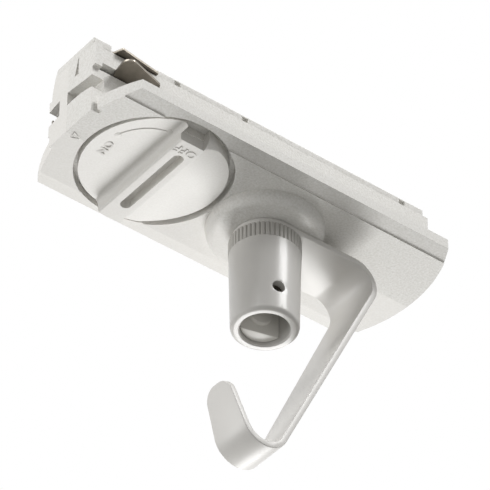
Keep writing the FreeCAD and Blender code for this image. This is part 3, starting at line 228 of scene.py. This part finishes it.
def moulded_plastic(name, dark, light, roughness, grain_mm, grain_height_mm, speckle=0.0):
    """Plastic from a spark-eroded mould: a fine even grain and a tone that drifts a little."""
    material = new_material(name)
    where = add_node(material, "ShaderNodeTexCoord").outputs["Object"]
    drift = add_node(
        material,
        "ShaderNodeTexNoise",
        inputs={"Scale": cells(TONE_DRIFT_MM), "Detail": 3.0, "Roughness": NOISE_ROUGHNESS},
        links={"Vector": where},
    ).outputs["Fac"]
    tone = add_node(
        material,
        "ShaderNodeMixRGB",
        inputs={"Color1": opaque(dark), "Color2": opaque(light)},
        links={"Fac": drift},
    ).outputs["Color"]
    grain = add_node(
        material,
        "ShaderNodeTexNoise",
        inputs={"Scale": cells(grain_mm), "Detail": 3.0, "Roughness": NOISE_ROUGHNESS},
        links={"Vector": where},
    ).outputs["Fac"]
    if speckle:
        tone = add_node(
            material,
            "ShaderNodeMixRGB",
            settings={"blend_type": "OVERLAY"},
            inputs={"Fac": speckle},
            links={"Color1": tone, "Color2": grain},
        ).outputs["Color"]
    bump = add_node(
        material,
        "ShaderNodeBump",
        inputs={"Strength": 1.0, "Distance": grain_height_mm * MM},
        links={"Height": grain},
    ).outputs["Normal"]
    gloss = add_node(
        material,
        "ShaderNodeMapRange",
        inputs={
            "To Min": roughness - MOULD_ROUGHNESS_DRIFT,
            "To Max": roughness + MOULD_ROUGHNESS_DRIFT,
        },
        links={"Value": drift},
    ).outputs["Result"]
    surface = add_node(
        material,
        "ShaderNodeBsdfPrincipled",
        inputs={"IOR": PLASTIC_IOR},
        links={"Base Color": tone, "Roughness": gloss, "Normal": bump},
    ).outputs["BSDF"]
    add_node(material, "ShaderNodeOutputMaterial", links={"Surface": surface})
    return material


def powder_paint(name, dark, light, roughness, coat):
    """Powder paint on metal: satin, with the slight orange peel that the oven leaves."""
    material = new_material(name)
    where = add_node(material, "ShaderNodeTexCoord").outputs["Object"]
    drift = add_node(
        material,
        "ShaderNodeTexNoise",
        inputs={"Scale": cells(PAINT_DRIFT_MM), "Detail": 3.0, "Roughness": NOISE_ROUGHNESS},
        links={"Vector": where},
    ).outputs["Fac"]
    peel = add_node(
        material,
        "ShaderNodeTexNoise",
        inputs={"Scale": cells(ORANGE_PEEL_MM), "Detail": 1.0, "Roughness": NOISE_ROUGHNESS},
        links={"Vector": where},
    ).outputs["Fac"]
    dust = add_node(
        material,
        "ShaderNodeTexNoise",
        inputs={"Scale": cells(PAINT_DUST_MM), "Detail": 2.0, "Roughness": NOISE_ROUGHNESS},
        links={"Vector": where},
    ).outputs["Fac"]
    tone = add_node(
        material,
        "ShaderNodeMixRGB",
        inputs={"Color1": opaque(dark), "Color2": opaque(light)},
        links={"Fac": drift},
    ).outputs["Color"]
    height = add_node(
        material,
        "ShaderNodeMath",
        settings={"operation": "MULTIPLY_ADD"},
        inputs={1: PAINT_DUST_SHARE},
        links={0: dust, 2: peel},
    ).outputs["Value"]
    bump = add_node(
        material,
        "ShaderNodeBump",
        inputs={"Strength": 1.0, "Distance": PAINT_WAVE_HEIGHT_MM * MM},
        links={"Height": height},
    ).outputs["Normal"]
    surface = add_node(
        material,
        "ShaderNodeBsdfPrincipled",
        inputs={
            "Roughness": roughness,
            "IOR": PLASTIC_IOR,
            "Coat Weight": coat,
            "Coat Roughness": PAINT_COAT_ROUGHNESS,
        },
        links={"Base Color": tone, "Normal": bump},
    ).outputs["BSDF"]
    add_node(material, "ShaderNodeOutputMaterial", links={"Surface": surface})
    return material


def marked_metal(name, dark, light, roughness, mark_mm, stretch=UNSTRETCHED):
    """Metal with fine marks, drawn out along one direction where a stretch is given."""
    material = new_material(name)
    where = add_node(material, "ShaderNodeTexCoord").outputs["Object"]
    drawn_out = add_node(
        material, "ShaderNodeMapping", inputs={"Scale": stretch}, links={"Vector": where}
    ).outputs["Vector"]
    marks = add_node(
        material,
        "ShaderNodeTexNoise",
        inputs={"Scale": cells(mark_mm), "Detail": 2.0, "Roughness": NOISE_ROUGHNESS},
        links={"Vector": drawn_out},
    ).outputs["Fac"]
    drift = add_node(
        material,
        "ShaderNodeTexNoise",
        inputs={"Scale": cells(METAL_DRIFT_MM), "Detail": 3.0, "Roughness": NOISE_ROUGHNESS},
        links={"Vector": where},
    ).outputs["Fac"]
    tone = add_node(
        material,
        "ShaderNodeMixRGB",
        inputs={"Color1": opaque(dark), "Color2": opaque(light)},
        links={"Fac": drift},
    ).outputs["Color"]
    gloss = add_node(
        material,
        "ShaderNodeMapRange",
        inputs={"To Min": roughness - METAL_SMOOTHER, "To Max": roughness + METAL_ROUGHER},
        links={"Value": marks},
    ).outputs["Result"]
    bump = add_node(
        material,
        "ShaderNodeBump",
        inputs={"Strength": 1.0, "Distance": METAL_MARK_DEPTH_MM * MM},
        links={"Height": marks},
    ).outputs["Normal"]
    surface = add_node(
        material,
        "ShaderNodeBsdfPrincipled",
        inputs={"Metallic": 1.0},
        links={"Base Color": tone, "Roughness": gloss, "Normal": bump},
    ).outputs["BSDF"]
    add_node(material, "ShaderNodeOutputMaterial", links={"Surface": surface})
    return material


FINISHES = {}


def make_finishes(tones):
    """Makes every finish once."""
    # White polycarbonate from a spark-eroded mould: a dry, matt white with a sandy grain.
    # The real grain is about 0.1 mm, and is drawn four times as coarse so that it shows.
    FINISHES["housing"] = moulded_plastic(
        "spark-eroded polycarbonate, far half",
        tones.housing_dark,
        tones.housing_light,
        roughness=0.55,
        grain_mm=0.42,
        grain_height_mm=0.035,
        speckle=0.26,
    )
    # The same plastic from the rougher half of the mould: duller, and visibly speckled.
    # Its grain is drawn four times as coarse too.
    FINISHES["near_housing"] = moulded_plastic(
        "spark-eroded polycarbonate, near half",
        tones.near_dark,
        tones.near_light,
        roughness=0.6,
        grain_mm=0.45,
        grain_height_mm=0.07,
        speckle=0.55,
    )
    # White polycarbonate from a smoother mould: softer and a little glossier than the housing,
    # as suits a knob that is touched. The grain is again drawn four times as coarse.
    FINISHES["dial"] = moulded_plastic(
        "fine-moulded polycarbonate, dial",
        tones.dial_dark,
        tones.dial_light,
        roughness=0.5,
        grain_mm=0.4,
        grain_height_mm=0.03,
        speckle=0.22,
    )
    # Natural glass-filled polyamide: a warm cream without pigment, for what holds live metal
    FINISHES["carrier"] = moulded_plastic(
        "natural glass-filled polyamide",
        tones.carrier_dark,
        tones.carrier_light,
        roughness=0.5,
        grain_mm=0.4,
        grain_height_mm=0.01,
    )
    # White polyamide from a polished mould: smooth, with a soft shine on the slanted face
    FINISHES["clamp"] = moulded_plastic(
        "smooth white polyamide, clamp shoe",
        tones.clamp_dark,
        tones.clamp_light,
        roughness=0.38,
        grain_mm=0.4,
        grain_height_mm=0.006,
    )
    # White powder paint on turned metal: satin, so that the cone carries one long soft highlight.
    # Its tones are painted shade: greyer than the white paint, standing for the flange's shadow
    # on the nozzle.
    FINISHES["nozzle"] = powder_paint(
        "satin powder paint, nozzle",
        tones.nozzle_dark,
        tones.nozzle_light,
        roughness=0.38,
        coat=0.25,
    )
    # The same paint, made greyer as painted shade for the flange's shadow on the ring; the
    # grooves between the ribs darken by their own shape
    FINISHES["ring"] = powder_paint(
        "satin powder paint, lock ring",
        tones.ring_dark,
        tones.ring_light,
        roughness=0.42,
        coat=0.1,
    )
    # White powder paint on a steel strap: even and nearly matt on the flats, bright on the bends
    FINISHES["hook"] = powder_paint(
        "satin powder paint, hook strap",
        tones.hook_dark,
        tones.hook_light,
        roughness=0.44,
        coat=0.1,
    )
    # Nickel-plated bronze strip as it was rolled: a warm mirror, blurred along the strip, with
    # tones far darker than nickel as painted shade.
    # Its marks are really about 0.02 mm, and are drawn eight times as coarse so that they show.
    FINISHES["nickel"] = marked_metal(
        "rolled nickel-plated bronze",
        tones.nickel_dark,
        tones.nickel_light,
        roughness=0.34,
        mark_mm=0.16,
        stretch=ALONG_STRIP,
    )
    # Bare drawn brass: a dull yellow. This and the next two have marks that are really about
    # 0.05 mm, and are drawn four times as coarse so that they show.
    FINISHES["brass"] = marked_metal(
        "bare drawn brass", tones.brass_dark, tones.brass_light, roughness=0.34, mark_mm=0.2
    )
    # Zinc-plated steel: a cool, slightly cloudy grey on springs, screws, stem and nut
    FINISHES["steel"] = marked_metal(
        "zinc-plated steel", tones.steel_dark, tones.steel_light, roughness=0.32, mark_mm=0.2
    )
    # Blackened steel: reads as a dark spot in the nozzle's side hole
    FINISHES["dark"] = marked_metal(
        "blackened steel", tones.grub_dark, tones.grub_light, roughness=0.42, mark_mm=0.2
    )


NODE_FINISH = {
    "near_half_shell": "near_housing",
    "far_half_shell": "housing",
    "top_lid": "near_housing",
    "dial": "dial",
    "dial_clip": "steel",
    "detent_spring": "steel",
    "contact_carrier": "carrier",
    "contact_spacer": "carrier",
    "terminal_base": "carrier",
    "neutral_contact": "nickel",
    "live_contact": "nickel",
    "earth_contact": "nickel",
    "live_strip": "brass",
    "neutral_strip": "brass",
    "live_terminal": "brass",
    "neutral_terminal": "brass",
    "earth_terminal": "brass",
    "live_terminal_screw": "steel",
    "neutral_terminal_screw": "steel",
    "earth_terminal_screw": "steel",
    "threaded_stem": "steel",
    "stem_washer": "steel",
    "stem_nut": "steel",
    "housing_screws": "steel",
    "hook": "hook",
    "knurled_ring": "ring",
    "nozzle": "nozzle",
    "grub_screw": "dark",
    "cord_clamp": "clamp",
}


def paint(piece, finish):
    if not FINISHES:
        make_finishes(bpy.context.scene.adapter_colours)
    piece.data.materials.clear()
    piece.data.materials.append(FINISHES[finish])


# ---- Pieces with rounded edges ----

SAME_CORNER = 0.0000015
SAME_PLANE = math.radians(0.4)
SHARP_EDGE = math.radians(30.0)
SMOOTH_BELOW = math.radians(35)


def deselect():
    if bpy.context.object and bpy.context.object.mode != "OBJECT":
        bpy.ops.object.mode_set(mode="OBJECT")
    bpy.ops.object.select_all(action="DESELECT")


def activate(piece):
    deselect()
    piece.select_set(True)
    bpy.context.view_layer.objects.active = piece


def edged_copy(node, name, body, finish, width, segments=2, level_faces=True):
    """A merged copy of a rigid piece, with sharp edges rounded as by a mould or a coat of paint.

    Level faces keep flat shading next to a rounded edge. Pieces whose faces all bend or are
    narrow look cleaner without them.
    """
    source = frame["nodes"][node]
    piece = source.copy()
    piece.data = source.data.copy()
    piece.parent = None
    piece.name = name
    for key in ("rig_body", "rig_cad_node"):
        if key in piece:
            del piece[key]
    bpy.context.scene.collection.objects.link(piece)
    piece.matrix_world = Matrix.Identity(4)
    activate(piece)
    if piece.data.has_custom_normals:
        bpy.ops.mesh.customdata_custom_splitnormals_clear()
    bpy.ops.object.mode_set(mode="EDIT")
    bpy.ops.mesh.select_all(action="SELECT")
    bpy.ops.mesh.remove_doubles(threshold=SAME_CORNER)
    bpy.ops.mesh.dissolve_limited(angle_limit=SAME_PLANE)
    bpy.ops.mesh.normals_make_consistent(inside=False)
    bpy.ops.object.mode_set(mode="OBJECT")
    bevel = piece.modifiers.new("edge", "BEVEL")
    bevel.width = width
    bevel.segments = segments
    bevel.limit_method = "ANGLE"
    bevel.angle_limit = SHARP_EDGE
    bpy.ops.object.modifier_apply(modifier="edge")
    bpy.ops.object.shade_smooth_by_angle(angle=SMOOTH_BELOW)
    if level_faces:
        flats = piece.modifiers.new("flats", "WEIGHTED_NORMAL")
        flats.keep_sharp = True
        bpy.ops.object.modifier_apply(modifier="flats")
    paint(piece, finish)
    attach(piece, body)
    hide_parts(node)


class ADAPTER_OT_inside(bpy.types.Operator):
    """Gives every rigid piece its finish"""

    bl_idname = "adapter.inside"
    bl_label = "Inner pieces"

    def execute(self, context):
        for node, finish in NODE_FINISH.items():
            paint(frame["nodes"][node], finish)
        return {"FINISHED"}


class ADAPTER_OT_housing(bpy.types.Operator):
    """Rounds the moulded edges of the two half shells and the lid"""

    bl_idname = "adapter.housing"
    bl_label = "Housing"

    def execute(self, context):
        edges = context.scene.adapter_edges
        for node, name, finish in (
            ("near_half_shell", "near_shell_skin", "near_housing"),
            ("far_half_shell", "far_shell_skin", "housing"),
        ):
            edged_copy(node, name, "housing", finish, edges.housing)
        edged_copy(
            "top_lid",
            "lid_skin",
            "housing",
            "near_housing",
            edges.lid,
            level_faces=False,
        )
        return {"FINISHED"}


class ADAPTER_OT_dial(bpy.types.Operator):
    """Rounds the dial's edges"""

    bl_idname = "adapter.dial"
    bl_label = "Dial"

    def execute(self, context):
        edge = context.scene.adapter_edges.dial
        edged_copy("dial", "dial_skin", "dial", "dial", edge)
        return {"FINISHED"}


class ADAPTER_OT_contacts(bpy.types.Operator):
    """Rounds the stamped edges of the two blades and the earth spring"""

    bl_idname = "adapter.contacts"
    bl_label = "Contacts"

    def execute(self, context):
        edges = context.scene.adapter_edges
        for node, name, body, edge in (
            ("live_contact", "live_blade_skin", "contacts", edges.blade),
            ("neutral_contact", "neutral_blade_skin", "contacts", edges.blade),
            ("earth_contact", "earth_spring_skin", "housing", edges.earth_spring),
        ):
            edged_copy(node, name, body, "nickel", edge)
        return {"FINISHED"}


class ADAPTER_OT_hook(bpy.types.Operator):
    """Rounds the strap's long edges under its paint"""

    bl_idname = "adapter.hook"
    bl_label = "Hook"

    def execute(self, context):
        edge = context.scene.adapter_edges.strap
        edged_copy(
            "hook",
            "hook_skin",
            "hook",
            "hook",
            edge,
            segments=3,
            level_faces=False,
        )
        return {"FINISHED"}


class ADAPTER_OT_nozzle(bpy.types.Operator):
    """Rounds the nozzle, its knurled lock ring and the clamp shoe"""

    bl_idname = "adapter.nozzle"
    bl_label = "Nozzle and ring"

    def execute(self, context):
        edges = context.scene.adapter_edges
        edged_copy("nozzle", "nozzle_skin", "housing", "nozzle", edges.nozzle)
        edged_copy("knurled_ring", "ring_skin", "lock_ring", "ring", edges.ribs)
        edged_copy(
            "cord_clamp",
            "clamp_skin",
            "housing",
            "clamp",
            edges.shoe,
            level_faces=False,
        )
        return {"FINISHED"}


# ---- Raised marks ----

# The dial's face where the marks stand: its centre and radii along x, and its heights, in mm
DIAL_X = -23.5
SCOOP_START = 4.0
SCOOP_END = 16.6
SCOOP_TOP = -2.3
SCOOP_RIM = -3.3
GRIP_FACE = -5.0
FLANGE_FACE = -3.2

# Centres of the two words, in mm on the dial
ON_X = -35.6
ON_Y = 0.45
OFF_X = -23.2
OFF_Y = -10.35
# Stroke weight and spacing of the letters, and how much of their relief is rounded
LETTER_WEIGHT = 0.022
LETTER_SPACING = 1.1
LETTER_ROUNDING = 0.3

# The turning line starts at this radius and draws in as it turns, in mm and degrees
TURN_LINE_RADIUS = 13.05
TURN_LINE_DRAW_IN = 1.45
TURN_LINE_START = 199.0
TURN_LINE_END = 248.0
TURN_LINE_STEPS = 24
# The dots are low domes, this high for their radius
DOT_HEIGHT = 0.15

# The pointer's three corners on the flange, in mm
POINTER_CORNERS = (
    (-43.36, 0.23, FLANGE_FACE),
    (-43.06, 2.04, FLANGE_FACE),
    (-41.3, 1.29, FLANGE_FACE),
)
MARK_SEAM = 0.000002


def scoop_height(x):
    """Height of the scoop's surface, in mm, at a place x in mm."""
    away = abs(x - DIAL_X)
    share = (away - SCOOP_START) / (SCOOP_END - SCOOP_START)
    return SCOOP_TOP + (SCOOP_RIM - SCOOP_TOP) * share


def close_seams():
    """Joins the active piece's caps to its walls and turns its faces outwards."""
    bpy.ops.object.mode_set(mode="EDIT")
    bpy.ops.mesh.select_all(action="SELECT")
    bpy.ops.mesh.remove_doubles(threshold=MARK_SEAM)
    bpy.ops.mesh.normals_make_consistent(inside=False)
    bpy.ops.object.mode_set(mode="OBJECT")


def join_mark(piece, body):
    """Gives a mark the plastic and the body of the piece that it stands on."""
    paint(piece, "dial" if body == "dial" else "housing")
    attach(piece, body)


def lettering(name, words, size, relief, matrix, body):
    """Raised letters that face down, converted to a mesh and put in place."""
    deselect()
    bpy.ops.object.text_add(location=(0, 0, 0))
    text = bpy.context.object
    text.data.body = words
    text.data.size = size
    text.data.extrude = relief
    text.data.bevel_depth = relief * LETTER_ROUNDING
    text.data.offset = size * LETTER_WEIGHT
    text.data.bevel_resolution = 1
    text.data.align_x = "CENTER"
    text.data.align_y = "CENTER"
    text.data.space_character = LETTER_SPACING
    bpy.ops.object.convert(target="MESH")
    piece = bpy.context.object
    piece.name = name
    close_seams()
    piece.data.transform(matrix)
    join_mark(piece, body)


def raised_line(name, points, radius, body, cyclic=False):
    """A raised bead along points given in mm."""
    deselect()
    curve = bpy.data.curves.new(name, "CURVE")
    curve.dimensions = "3D"
    curve.bevel_depth = radius
    curve.bevel_resolution = 2
    curve.use_fill_caps = True
    spline = curve.splines.new("POLY")
    spline.points.add(len(points) - 1)
    for place, (x, y, z) in zip(spline.points, points):
        place.co = (x * MM, y * MM, z * MM, 1.0)
    spline.use_cyclic_u = cyclic
    line = bpy.data.objects.new(name, curve)
    bpy.context.scene.collection.objects.link(line)
    activate(line)
    bpy.ops.object.convert(target="MESH")
    piece = bpy.context.object
    close_seams()
    bpy.ops.object.shade_smooth()
    join_mark(piece, body)


def raised_dot(name, centre, radius, body):
    """A low round dome at a centre given in mm."""
    deselect()
    bpy.ops.mesh.primitive_uv_sphere_add(
        segments=20, ring_count=10, radius=radius, location=Vector(centre) * MM
    )
    piece = bpy.context.object
    piece.name = name
    bpy.ops.transform.resize(value=(1.0, 1.0, DOT_HEIGHT))
    bpy.ops.object.transform_apply(location=True, rotation=True, scale=True)
    bpy.ops.object.shade_smooth()
    join_mark(piece, body)


def on_word_place():
    """The word ON lies on the slope of the scoop and reads from the dial's left."""
    slope = (SCOOP_RIM - SCOOP_TOP) / (SCOOP_END - SCOOP_START)
    facing = Vector((slope, 0.0, -1.0)).normalized()
    across = Vector((0.0, 1.0, 0.0))
    up = facing.cross(across)
    place = Matrix((across, up, facing)).transposed().to_4x4()
    place.translation = Vector((ON_X, ON_Y, scoop_height(ON_X))) * MM
    return place


def off_word_place():
    """The word OFF lies flat on the grip bar's face."""
    place = Matrix(((-1, 0, 0), (0, 1, 0), (0, 0, -1))).to_4x4()
    place.translation = Vector((OFF_X, OFF_Y, GRIP_FACE)) * MM
    return place


def turn_line_points():
    """Points of the line that joins OFF to ON, drawn in towards the bar."""
    points = []
    for step in range(TURN_LINE_STEPS + 1):
        share = step / TURN_LINE_STEPS
        radius = TURN_LINE_RADIUS - TURN_LINE_DRAW_IN * share**2
        angle = math.radians(TURN_LINE_START + (TURN_LINE_END - TURN_LINE_START) * share)
        x = DIAL_X + radius * math.cos(angle)
        points.append((x, radius * math.sin(angle), scoop_height(x)))
    return points


class ADAPTER_OT_marks(bpy.types.Operator):
    """Adds the raised ON and OFF, the turning line and the pointer on the flange"""

    bl_idname = "adapter.marks"
    bl_label = "Marks"

    def execute(self, context):
        marks = context.scene.adapter_marks
        relief = marks.relief
        lettering("on_letters", "ON", marks.on_size, relief, on_word_place(), "dial")
        lettering("off_letters", "OFF", marks.off_size, relief, off_word_place(), "dial")
        line = turn_line_points()
        raised_line("turn_line", line, marks.line_bead, "dial")
        for number, end in enumerate((line[0], line[-1])):
            raised_dot(f"turn_dot_{number}", end, marks.dot_radius, "dial")
        raised_line("pointer_mark", POINTER_CORNERS, marks.pointer_bead, "housing", cyclic=True)
        return {"FINISHED"}


# ---- Stage ----

FLOOR_SIZE = 8.0
# How much of the floor's look is plain white, the rest takes the shadow
FLOOR_WHITE = 0.93
PURE_WHITE = (1.0, 1.0, 1.0, 1.0)

LAMP_TARGET = (0.0, 0.0, -0.01)
# Name, place and size in metres, power in watts
LAMPS = (
    ("key_lamp", (0.64, 0.64, -0.56), 0.6, 9.1),
    ("left_lamp", (-0.8, 0.45, -0.14), 0.5, 3.2),
    ("high_left_lamp", (-0.65, -0.15, 0.65), 0.5, 4.2),
    ("top_lamp", (0.3, -0.7, 0.65), 0.4, 6.0),
)

# The camera looks up at the part from below: turn about z, rise and roll in degrees
CAMERA_TURN = 37.7
CAMERA_RISE = 40.56
CAMERA_ROLL = 0.34
CAMERA_DISTANCE_MM = 828.29
# The point it looks at, in mm, and where that point stands in a picture of 490 pixels
CAMERA_AIM_MM = (0.0, 0.0, -2.4)
AIM_COLUMN = 244.86
AIM_ROW = 215.46
PICTURE_SIZE = 490.0
PICTURE_CENTRE = 245.0
FOCAL_PIXELS = 4000.0
SENSOR_MM = 36.0


def backdrop_rays(surface):
    """1 for the rays that show the backdrop: straight, in a reflection or through glass."""
    path = add_node(surface, "ShaderNodeLightPath")
    mirrored = add_node(
        surface,
        "ShaderNodeMath",
        settings={"operation": "MAXIMUM"},
        links={0: path.outputs["Is Camera Ray"], 1: path.outputs["Is Glossy Ray"]},
    )
    shown = add_node(
        surface,
        "ShaderNodeMath",
        settings={"operation": "MAXIMUM"},
        links={0: mirrored.outputs["Value"], 1: path.outputs["Is Transmission Ray"]},
    )
    return shown.outputs["Value"]


def lay_floor(stage):
    """A floor that looks white and still takes the part's shadow."""
    deselect()
    bpy.ops.mesh.primitive_plane_add(size=FLOOR_SIZE, location=(0, 0, -stage.floor_drop))
    floor = bpy.context.object
    floor.name = "floor"
    # Matt board: no shine, only the shadow shows on it
    material = new_material("matt white studio board")
    share = add_node(
        material,
        "ShaderNodeMath",
        settings={"operation": "MULTIPLY"},
        inputs={1: FLOOR_WHITE},
        links={0: backdrop_rays(material)},
    ).outputs["Value"]
    board = add_node(
        material, "ShaderNodeBsdfDiffuse", inputs={"Color": opaque(stage.floor_colour)}
    ).outputs["BSDF"]
    white = add_node(
        material, "ShaderNodeEmission", inputs={"Color": PURE_WHITE, "Strength": 1.0}
    ).outputs["Emission"]
    mixed = add_node(
        material, "ShaderNodeMixShader", links={"Fac": share, 1: board, 2: white}
    ).outputs["Shader"]
    add_node(material, "ShaderNodeOutputMaterial", links={"Surface": mixed})
    floor.data.materials.append(material)


def light_world(scene):
    """Soft light from all round, with a white backdrop where it is seen."""
    stage = scene.adapter_stage
    world = bpy.data.worlds.new("soft studio")
    scene.world = world
    world.use_nodes = True
    world.node_tree.nodes.clear()
    soft = add_node(
        world,
        "ShaderNodeBackground",
        inputs={"Color": opaque(stage.world_colour), "Strength": stage.world_strength},
    ).outputs["Background"]
    bright = add_node(
        world, "ShaderNodeBackground", inputs={"Color": PURE_WHITE, "Strength": 1.0}
    ).outputs["Background"]
    mixed = add_node(
        world, "ShaderNodeMixShader", links={0: backdrop_rays(world), 1: soft, 2: bright}
    ).outputs["Shader"]
    add_node(world, "ShaderNodeOutputWorld", links={"Surface": mixed})


def hang_lamp(name, place, size, power):
    """A round soft lamp that faces the part."""
    lamp = bpy.data.lights.new(name, "AREA")
    lamp.shape = "DISK"
    lamp.size = size
    lamp.energy = power
    holder = bpy.data.objects.new(name, lamp)
    holder.location = place
    holder.rotation_mode = "QUATERNION"
    towards = Vector(LAMP_TARGET) - Vector(place)
    holder.rotation_quaternion = towards.to_track_quat("-Z", "Y")
    bpy.context.scene.collection.objects.link(holder)


def set_camera(scene):
    """Puts the camera below the part, on its near side."""
    turn = math.radians(CAMERA_TURN)
    rise = math.radians(CAMERA_RISE)
    roll = math.radians(CAMERA_ROLL)
    ahead = Vector(
        (math.cos(rise) * math.sin(turn), math.cos(rise) * math.cos(turn), math.sin(rise))
    )
    right = Vector((math.cos(turn), -math.sin(turn), 0.0))
    above = right.cross(ahead)
    side = right * math.cos(roll) + above * math.sin(roll)
    top = above * math.cos(roll) - right * math.sin(roll)
    pixel_mm = CAMERA_DISTANCE_MM / FOCAL_PIXELS
    across = (AIM_COLUMN - PICTURE_CENTRE) * pixel_mm
    lift = -(AIM_ROW - PICTURE_CENTRE) * pixel_mm
    offset = side * across + top * lift + ahead * CAMERA_DISTANCE_MM
    place = Matrix.Translation((Vector(CAMERA_AIM_MM) - offset) * MM)
    camera = bpy.data.objects.new("camera", bpy.data.cameras.new("camera"))
    scene.collection.objects.link(camera)
    camera.matrix_world = place @ Matrix((side, top, -ahead)).transposed().to_4x4()
    camera.data.sensor_width = SENSOR_MM
    camera.data.lens = FOCAL_PIXELS * SENSOR_MM / PICTURE_SIZE
    camera.data.clip_start = 0.01
    camera.data.clip_end = 20.0
    scene.camera = camera


class ADAPTER_OT_stage(bpy.types.Operator):
    """Sets up the floor, the world, the lamps and the camera"""

    bl_idname = "adapter.stage"
    bl_label = "Stage"

    def execute(self, context):
        scene = context.scene
        scene.view_settings.view_transform = "Standard"
        lay_floor(scene.adapter_stage)
        light_world(scene)
        for lamp in LAMPS:
            hang_lamp(*lamp)
        set_camera(scene)
        return {"FINISHED"}


# ---- Sidebar, registration and the run ----


class ADAPTER_PT_panel(bpy.types.Panel):
    """Lists the adapter's groups in the sidebar"""

    bl_label = "Track light adapter"
    bl_idname = "ADAPTER_PT_panel"
    bl_space_type = "VIEW_3D"
    bl_region_type = "UI"
    bl_category = "Adapter"

    def draw(self, context):
        for operator in OPERATORS:
            self.layout.operator(operator.bl_idname)


OPERATORS = (
    ADAPTER_OT_stage,
    ADAPTER_OT_inside,
    ADAPTER_OT_housing,
    ADAPTER_OT_dial,
    ADAPTER_OT_contacts,
    ADAPTER_OT_hook,
    ADAPTER_OT_nozzle,
    ADAPTER_OT_marks,
)
GROUPS = (AdapterEdges, AdapterColours, AdapterMarks, AdapterStage)
CLASSES = (*GROUPS, *OPERATORS, ADAPTER_PT_panel)


def register():
    for item in CLASSES:
        bpy.utils.register_class(item)
    bpy.types.Scene.adapter_edges = bpy.props.PointerProperty(type=AdapterEdges)
    bpy.types.Scene.adapter_colours = bpy.props.PointerProperty(type=AdapterColours)
    bpy.types.Scene.adapter_marks = bpy.props.PointerProperty(type=AdapterMarks)
    bpy.types.Scene.adapter_stage = bpy.props.PointerProperty(type=AdapterStage)


def unregister():
    del bpy.types.Scene.adapter_stage
    del bpy.types.Scene.adapter_marks
    del bpy.types.Scene.adapter_colours
    del bpy.types.Scene.adapter_edges
    for item in reversed(CLASSES):
        bpy.utils.unregister_class(item)


def main():
    register()
    bpy.ops.adapter.stage()
    bpy.ops.adapter.inside()
    bpy.ops.adapter.housing()
    bpy.ops.adapter.dial()
    bpy.ops.adapter.contacts()
    bpy.ops.adapter.hook()
    bpy.ops.adapter.nozzle()
    bpy.ops.adapter.marks()


if __name__ == "__main__":
    main()
